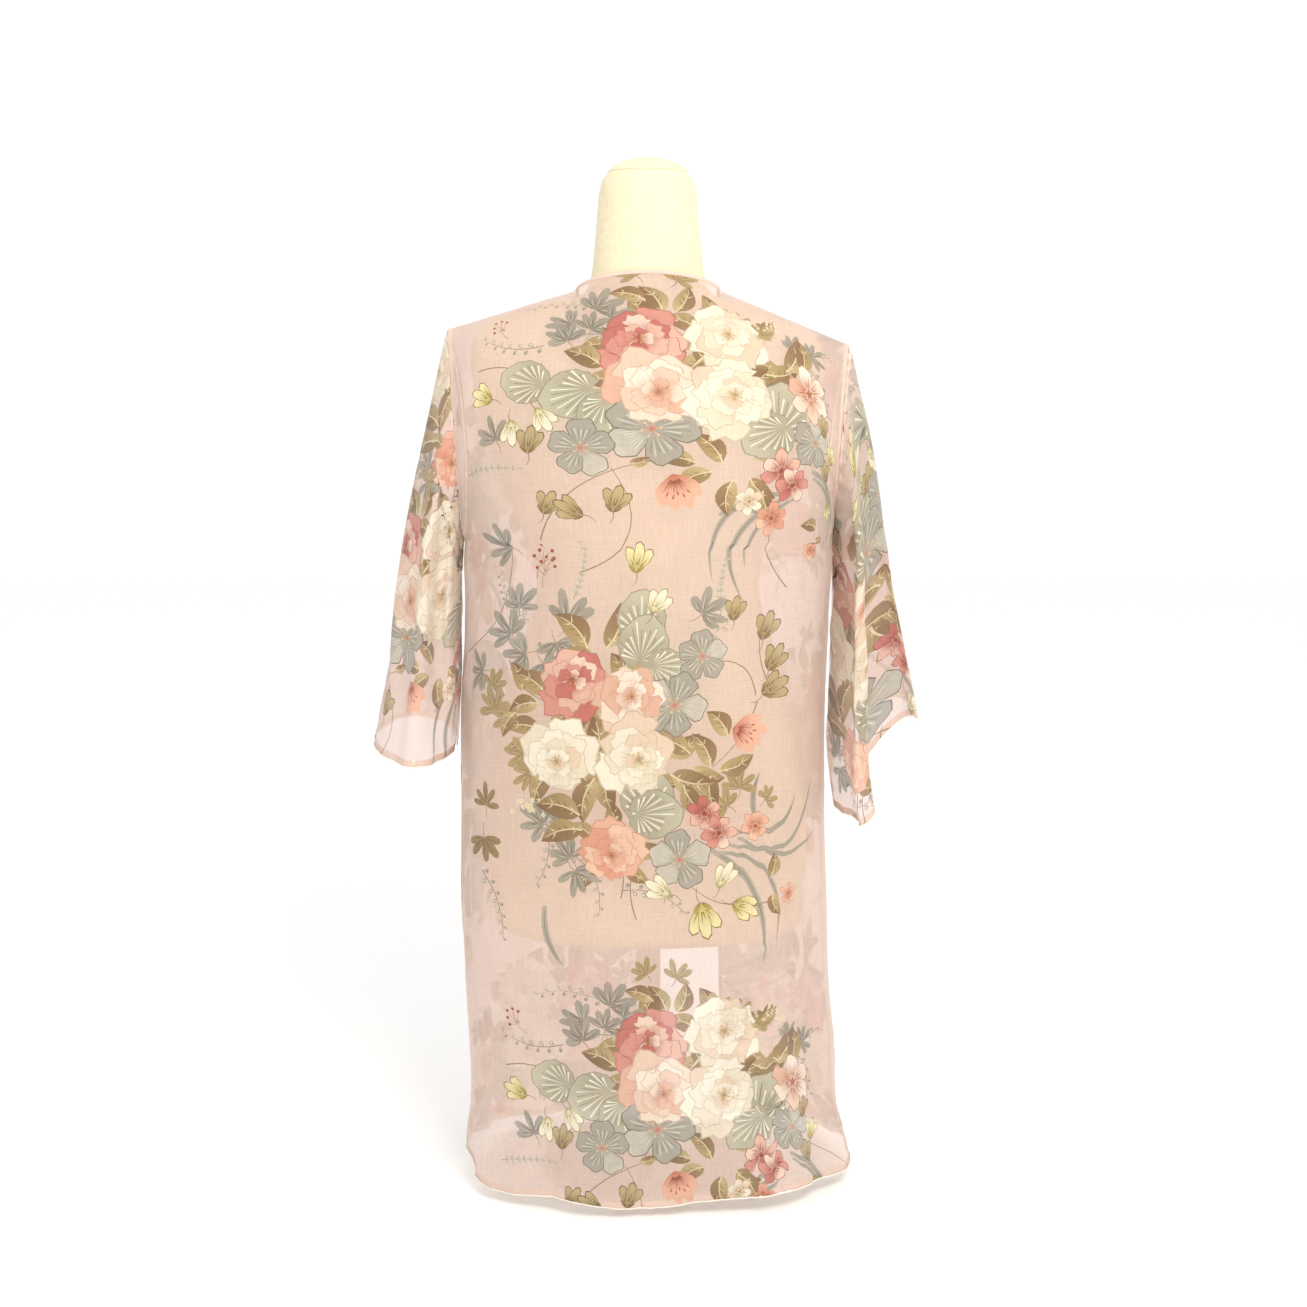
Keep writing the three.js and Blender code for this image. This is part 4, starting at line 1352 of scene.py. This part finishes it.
def ring_solid(name, rings, low, high):
    """A closed solid through rings of points, from its low end's height to its high one's."""
    count = len(rings[0])
    points = np.concatenate([*rings, [[0, 0, low]], [[0, 0, high]]])
    last = (len(rings) - 1) * count
    faces = []
    for i in range(0, last, count):
        for j in range(count):
            b = (j + 1) % count
            faces.append((i + j, i + b, i + count + b, i + count + j))
    for j in range(count):
        b = (j + 1) % count
        faces.append((len(points) - 2, b, j))
        faces.append((len(points) - 1, last + j, last + b))
    return new_object(name, points, faces)


def lathe(name, profile, segments=72):
    """A closed turned solid from radius and height pairs, low to high."""
    a = np.arange(segments) * 2 * PI / segments
    rings = [np.stack([r * np.cos(a), r * np.sin(a), z + 0 * a], 1) for r, z in profile[1:-1]]
    return ring_solid(name, rings, profile[0][1], profile[-1][1])


# Materials. How far each of two crossed yarns is drawn out along x, y and z:
FLAT_YARNS = ((1, 0.04, 1), (0.04, 1, 1))
UPRIGHT_YARNS = ((1, 1, 0.06), (0.06, 0.06, 1))
YARNS_PER_METRE = 900.0
GLOW_SHARE = 0.22


class Look:
    """A material: makes its nodes and sets or links their inputs."""

    def __init__(self, name, **inputs):
        self.material = bpy.data.materials.new(name)
        self.material.use_nodes = True
        self.nodes = self.material.node_tree.nodes
        self.shader = self.nodes["Principled BSDF"]
        self.put(self.shader, **inputs)

    def join(self, value, socket):
        if isinstance(value, bpy.types.NodeSocket):
            self.material.node_tree.links.new(value, socket)
        else:
            socket.default_value = value

    def put(self, node, **inputs):
        """Set or link inputs by their names, with an underscore for each space."""
        for name, value in inputs.items():
            self.join(value, node.inputs[name.replace("_", " ")])
        return node

    def add(self, kind, **inputs):
        return self.put(self.nodes.new("ShaderNode" + kind), **inputs)

    def math(self, operation, *values):
        node = self.add("Math")
        node.operation = operation
        for value, socket in zip(values, node.inputs):
            self.join(value, socket)
        return node.outputs[0]

    def noise(self, vector, scale, detail, rough):
        node = self.add("TexNoise", Vector=vector, Scale=scale, Detail=detail, Roughness=rough)
        return node.outputs["Fac"]

    def stretched(self, vector, scale):
        return self.add("Mapping", Vector=vector, Scale=scale).outputs["Vector"]

    def weave(self, vector, ways, scale, strength, distance):
        """Crossed, uneven yarns as a bump: two noises, each drawn out one way."""
        yarns = [self.stretched(vector, tuple(k * scale for k in way)) for way in ways]
        height = self.math("ADD", *(self.noise(yarn, 1.0, 1.5, 0.5) for yarn in yarns))
        relief = self.add("Bump", Height=height, Strength=strength, Distance=distance)
        self.put(self.shader, Normal=relief.outputs["Normal"])
        return height


def cloth_material():
    """The sheer cloth: its print's colours and alphas, uneven yarns and light from behind."""
    look = Look("sheer_cloth", Roughness=0.85, Sheen_Weight=0.25)
    look.put(look.shader, Sheen_Roughness=0.5, Specular_IOR_Level=0.25)
    ink = look.add("VertexColor")
    ink.layer_name = "print"
    uv = look.add("UVMap")
    uv.uv_map = "OFBake"
    place = look.add("TexCoord").outputs["Object"]
    soft = look.noise(place, 26.0, 5.0, 0.6)
    grain = look.noise(look.stretched(place, (1, 1, 0.35)), 420.0, 2.0, 0.7)
    tone = look.math("MULTIPLY_ADD", look.math("ADD", soft, grain), 0.16, 0.84)
    dye = look.add("VectorMath")
    dye.operation = "SCALE"
    look.join(ink.outputs["Color"], dye.inputs[0])
    look.put(dye, Scale=tone)
    colour = dye.outputs["Vector"]
    yarns = look.weave(uv.outputs["UV"], FLAT_YARNS, YARNS_PER_METRE, 0.25, 0.0002)
    thin = look.math("MULTIPLY_ADD", yarns, 0.2, -0.2)
    alpha = look.math("ADD", ink.outputs["Alpha"], thin)
    look.put(look.shader, Base_Color=colour, Alpha=alpha)
    glow = look.add("BsdfTranslucent", Color=colour)
    mix = look.add("MixShader", Fac=GLOW_SHARE)
    look.join(look.shader.outputs["BSDF"], mix.inputs[1])
    look.join(glow.outputs["BSDF"], mix.inputs[2])
    look.put(look.nodes["Material Output"], Surface=mix.outputs["Shader"])
    return look.material


def plain_material(
    name, colour, scale, rough=0.85, strength=0.4, noise=0.08, sheen=0.2, patch=18.0
):
    """Cloth or paint of one colour, with its weave, if any, and a soft variation."""
    look = Look(name, Roughness=rough, Sheen_Weight=sheen)
    place = look.add("TexCoord").outputs["Object"]
    dark = tuple(linear(colour) * (1 - 2 * noise)) + (1,)
    light = tuple(np.minimum(linear(colour) * (1 + noise), 1)) + (1,)
    mix = look.add("Mix")
    mix.data_type = "RGBA"
    look.put(mix, A=dark, B=light, Factor=look.noise(place, patch, 6.0, 0.65))
    look.put(look.shader, Base_Color=mix.outputs["Result"])
    if scale:
        look.weave(place, UPRIGHT_YARNS, scale, strength, 0.0004)
    return look.material


def dress(piece, material, node=None):
    piece.data.materials.append(material)
    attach(piece, "root")
    if node:
        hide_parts(node)
    return piece


cloth = cloth_material()
edging = plain_material("binding_cloth", (218, 187, 173), YARNS_PER_METRE, strength=0.5)
hem_cloth = plain_material("hem_cloth", (244, 234, 220), YARNS_PER_METRE)
cover = plain_material("form_cover", (228, 216, 182), 600.0, strength=0.6, noise=0.13, patch=170.0)
thread = plain_material("thread", (222, 190, 178), 0)
satin = plain_material("stand_metal", (206, 202, 192), 0, rough=0.4, noise=0.04, sheen=0.0)

# Garment. Where each piece's bouquets lie on its plan: bouquet, s, t, turn
LAYOUTS = {
    "back": [(BOUQUET_A, 34, -140, 0), (BOUQUET_A, 32, 532, 0), (BOUQUET_B, -30, 198, 0)],
    "front_left": [(BOUQUET_A, -10, -60, 0), (BOUQUET_B, 30, 270, 0), (BOUQUET_A, -30, 560, 0)],
    "front_right": [(BOUQUET_B, 0, -90, 0), (BOUQUET_A, -20, 230, 0), (BOUQUET_B, 10, 560, 0)],
    "sleeve_left": [(BOUQUET_B, 70, -390, -12), (BOUQUET_A, 84, -158, -12)],
    "sleeve_right": [(BOUQUET_A, 112, -262, 10), (BOUQUET_B, -95, -145, 10)],
}
EDGE_COUNT = 400
HEM_COUNT = 220
HEM_WIDTH = 7.0
HEM_RIM = 1.1
HEM_INSIDE = 0.55
# The rim's rows where it rolls over the edge: down and out
RIM_ROLL = ((0.45, -0.3), (0.6, 0), (0.45, 0.35))
RIM_OUT = 0.35
STITCH_IN = 6.2
STITCH_PITCH = 3.2
STITCH_SPAN = (0.14, 0.8)
STITCH_OUT = 0.22
STITCH_HALF = 0.24
STITCH_DEEP = 0.2
# piece, edge, width, name
SEAMS = (
    ("back", "left", 4.5, "back_seam_left"),
    ("back", "right", 4.5, "back_seam_right"),
    ("front_left", "right", 3.0, "front_seam_left"),
    ("front_right", "left", 3.0, "front_seam_right"),
    ("sleeve_left", "top", 4.0, "armhole_seam_left"),
    ("sleeve_right", "top", 4.0, "armhole_seam_right"),
)
# The neck binding: points along it, half its width and thickness, how far in and under it lies
ROLL_COUNT = 900
ROLL_EDGE_COUNT = 700
ROLL_SKIP = 6
ROLL_SIDES = 10
ROLL_HALF = 2.15
ROLL_THICK = 0.95
ROLL_IN = 2.4
ROLL_UNDER = 0.9
SEAM_SHARE = 1.02

back = make_back()
fronts = {side: make_front(side) for side in ("left", "right")}
sleeves = {side: make_sleeve(side, back, fronts[side]) for side in ("left", "right")}
plans = [back, *fronts.values(), *sleeves.values()]
for plan in plans:
    piece = printed_cloth(plan, LAYOUTS[plan.name])
    dress(piece, cloth, plan.name)


def edge_line(plan, which, count, inset=0.0, out=0.0):
    """Points along an edge of a piece, a little in from it and off its surface."""
    line = evenly(plan.edge(which, EDGE_COUNT), count)
    middle = plan.outline().mean(0)
    along = np.gradient(line, axis=0)
    side = unit(np.stack([-along[:, 1], along[:, 0]], 1))
    if ((middle - line) * side).sum() < 0:
        side = -side
    inner = line + side * inset
    points, outward = plan.form_of(inner[:, 0], inner[:, 1])
    return points + outward * out, outward


def hem(plan, which, width, name, rim=0.0):
    """The turned-in layer of a narrow hem, and the rim that it rolls over the edge."""
    insets = np.linspace(width, 0.2, 4)
    rows = [edge_line(plan, which, HEM_COUNT, k, -HEM_INSIDE)[0] for k in insets]
    if rim:
        edge, outward = edge_line(plan, which, HEM_COUNT, 0.1)
        down = edge - edge_line(plan, which, HEM_COUNT, 1.1)[0]
        rows += [edge + down * k + outward * out for k, out in RIM_ROLL]
        rows.append(edge_line(plan, which, HEM_COUNT, rim, RIM_OUT)[0])
    return strip(name, rows)


def stitches(plan, which, name):
    """A row of small running stitches, each a low eight-sided grain."""
    line = plan.edge(which, EDGE_COUNT)
    total = np.linalg.norm(np.diff(line, axis=0), axis=1).sum()
    count = int(total / STITCH_PITCH)
    points, outward = edge_line(plan, which, count, STITCH_IN, STITCH_OUT)
    verts = []
    faces = []
    for k, n in enumerate(outward[:count]):
        a, b = (points[k] + (points[k + 1] - points[k]) * share for share in STITCH_SPAN)
        side = unit(np.cross(b - a, n))
        base = len(verts)
        middle = (a + b) / 2
        verts += [a, middle + side * STITCH_HALF, b, middle - side * STITCH_HALF]
        verts += [middle + n * STITCH_OUT, middle - n * STITCH_DEEP]
        for i in range(4):
            j = (i + 1) % 4
            faces.append((base + i, base + j, base + 4))
            faces.append((base + j, base + i, base + 5))
    return new_object(name, verts, faces, False)


def binding():
    """The narrow rolled binding up one front edge, round the neck and down the other."""
    lines = []
    for plan, which in ((fronts["left"], "left"), (back, "top"), (fronts["right"], "right")):
        line = np.concatenate(edge_line(plan, which, ROLL_EDGE_COUNT, -0.01), 1)
        if which == "top":
            line = line[(np.abs(line[:, 0]) < NECK_HALF - 1.5) & (line[:, 1] < NECK_POINT[1])]
        else:
            line = line[ROLL_SKIP:]
        lines.append(line[::-1] if which == "left" else line)
    both = evenly(np.concatenate(lines), ROLL_COUNT)
    points = both[:, :3]
    outward = unit(both[:, 3:])
    along = unit(np.gradient(points, axis=0))
    away = np.cross(outward, along)
    lift = np.cross(along, away)
    k = np.arange(len(points))
    rng = random.Random(4)
    pucker = 1 + 0.07 * np.sin(k * 2.1) + 0.05 * np.sin(k * 0.83 + rng.uniform(0, 6))
    rows = []
    for j in range(ROLL_SIDES):
        a = 2 * PI * j / ROLL_SIDES
        x = ROLL_HALF * math.cos(a) * pucker[:, None]
        y = (ROLL_THICK * math.sin(a) * pucker - ROLL_UNDER)[:, None]
        rows.append(points + away * (ROLL_IN + x) + lift * y)
    return strip("neck_binding_roll", np.concatenate([rows, rows[:1]]))


extras = {plan.name: [] for plan in plans}


def trim(owner, piece, material, node=None):
    extras[owner].append(dress(piece, material, node))


for plan in plans:
    trim(plan.name, hem(plan, "bottom", HEM_WIDTH, plan.name + "_hem", HEM_RIM), hem_cloth)
    trim(plan.name, stitches(plan, "bottom", plan.name + "_hem_stitches"), thread)
by_name = {plan.name: plan for plan in plans}
for owner, which, width, name in SEAMS:
    trim(owner, hem(by_name[owner], which, width, name), hem_cloth)
trim("back", binding(), edging, "neck_binding")

for plan in plans:
    outline = plan.outline()
    float(abs(doubled_area(outline)) / 2 * 1e-6) * SEAM_SHARE

# Dress form and stand
# The form's heights and how many rings lie between them, and how many points each one has
FORM_Z = (259, 842, 845, 1002)
FORM_COUNT = (120, 70, 128)
FORM_FOOT = 0.985
SEAT = 0.15
# The cap's radius, middle height, rise and top
DOME = (41, 995.9, 20.7, 1016.6)
DOME_FOOT = 38.5
DOME_ANGLES = (18.4, 86, 24)
STAND_R = 108
POLE_R = 12.5
POLE_Z = (12.3, 258.7)

slope, lean_start, lean_full, lean_fade, lean_end = FORM_LEAN
foot_z, low_z, high_z, top_z = FORM_Z
low_count, high_count, round_count = FORM_COUNT
heights = [*np.linspace(foot_z, low_z, low_count), *np.linspace(high_z, top_z, high_count)]
around = np.linspace(0, 360, round_count, endpoint=False)
rings = []
for z in heights:
    half, rear, front, power = (float(smooth(FORM, k, z)) for k in (1, 2, 3, 4))
    ring = section(around, half, half, rear, front, power, z)
    tilt = between(z, lean_start, lean_full) * between(z, lean_end, lean_fade)
    ring[:, 2] -= slope * ring[:, 0] * tilt
    rings.append(ring)
rings[0] = rings[0] * (FORM_FOOT, FORM_FOOT, 1)
form = ring_solid("form_cover", rings, foot_z, top_z)
dress(form, cover, "form_torso")

dome_r, dome_z, dome_rise, dome_top = DOME
dome = [(0, top_z + SEAT), (DOME_FOOT, top_z + SEAT)]
for a in np.radians(np.linspace(*DOME_ANGLES)):
    dome.append((dome_r * math.cos(a), dome_z + dome_rise * math.sin(a)))
dome.append((0, dome_top))
dress(lathe("form_cap", dome), cover, "form_neck_cap")
disc = [(0, 0), (106.6, 0), (107.6, 0.5), (STAND_R, 1.5), (STAND_R, 7), (107.4, 8.4), (106, 9)]
disc += [(26, 9), (24.4, 9.6), (24, 11), (23, 12), (0, 12)]
dress(lathe("base_disc", disc, 96), satin, "stand_base")
pole = [(0, POLE_Z[0]), (POLE_R, POLE_Z[0]), (POLE_R, POLE_Z[1]), (0, POLE_Z[1])]
dress(lathe("pole_tube", pole, 48), satin, "stand_pole")

# Stage and light
FLOOR_HALF = 6
FLOOR_COLOUR = (0.95, 0.95, 0.952, 1)
WORLD_COLOUR = (1, 0.995, 0.985, 1)
WORLD_STRENGTH = 1.05

floor_mesh = bpy.data.meshes.new("floor")
corners = [(FLOOR_HALF * x, FLOOR_HALF * y, 0) for x, y in ((-1, -1), (1, -1), (1, 1), (-1, 1))]
floor_mesh.from_pydata(corners, [], [(0, 1, 2, 3)])
floor = bpy.data.objects.new("floor", floor_mesh)
bpy.context.scene.collection.objects.link(floor)
floor_mesh.materials.append(Look("floor", Base_Color=FLOOR_COLOUR, Roughness=0.9).material)

world = bpy.data.worlds.new("world")
world.use_nodes = True
background = world.node_tree.nodes["Background"]
background.inputs["Color"].default_value = WORLD_COLOUR
background.inputs["Strength"].default_value = WORLD_STRENGTH
bpy.context.scene.world = world


def area_light(name, place, aim, size, power, colour=(1, 1, 1)):
    data = bpy.data.lights.new(name, "AREA")
    data.size = size
    data.energy = power
    data.color = colour
    light = bpy.data.objects.new(name, data)
    light.location = place
    light.rotation_euler = (Vector(aim) - Vector(place)).to_track_quat("-Z", "Y").to_euler()
    bpy.context.scene.collection.objects.link(light)


area_light("key", (0.5, -1.3, 1.6), (0, 0, 0.7), 0.7, 19, (1, 0.965, 0.88))
area_light("fill", (-1.8, -1.8, 1.2), (0, 0, 0.5), 1.6, 4)
bpy.context.scene.view_settings.view_transform = "Standard"
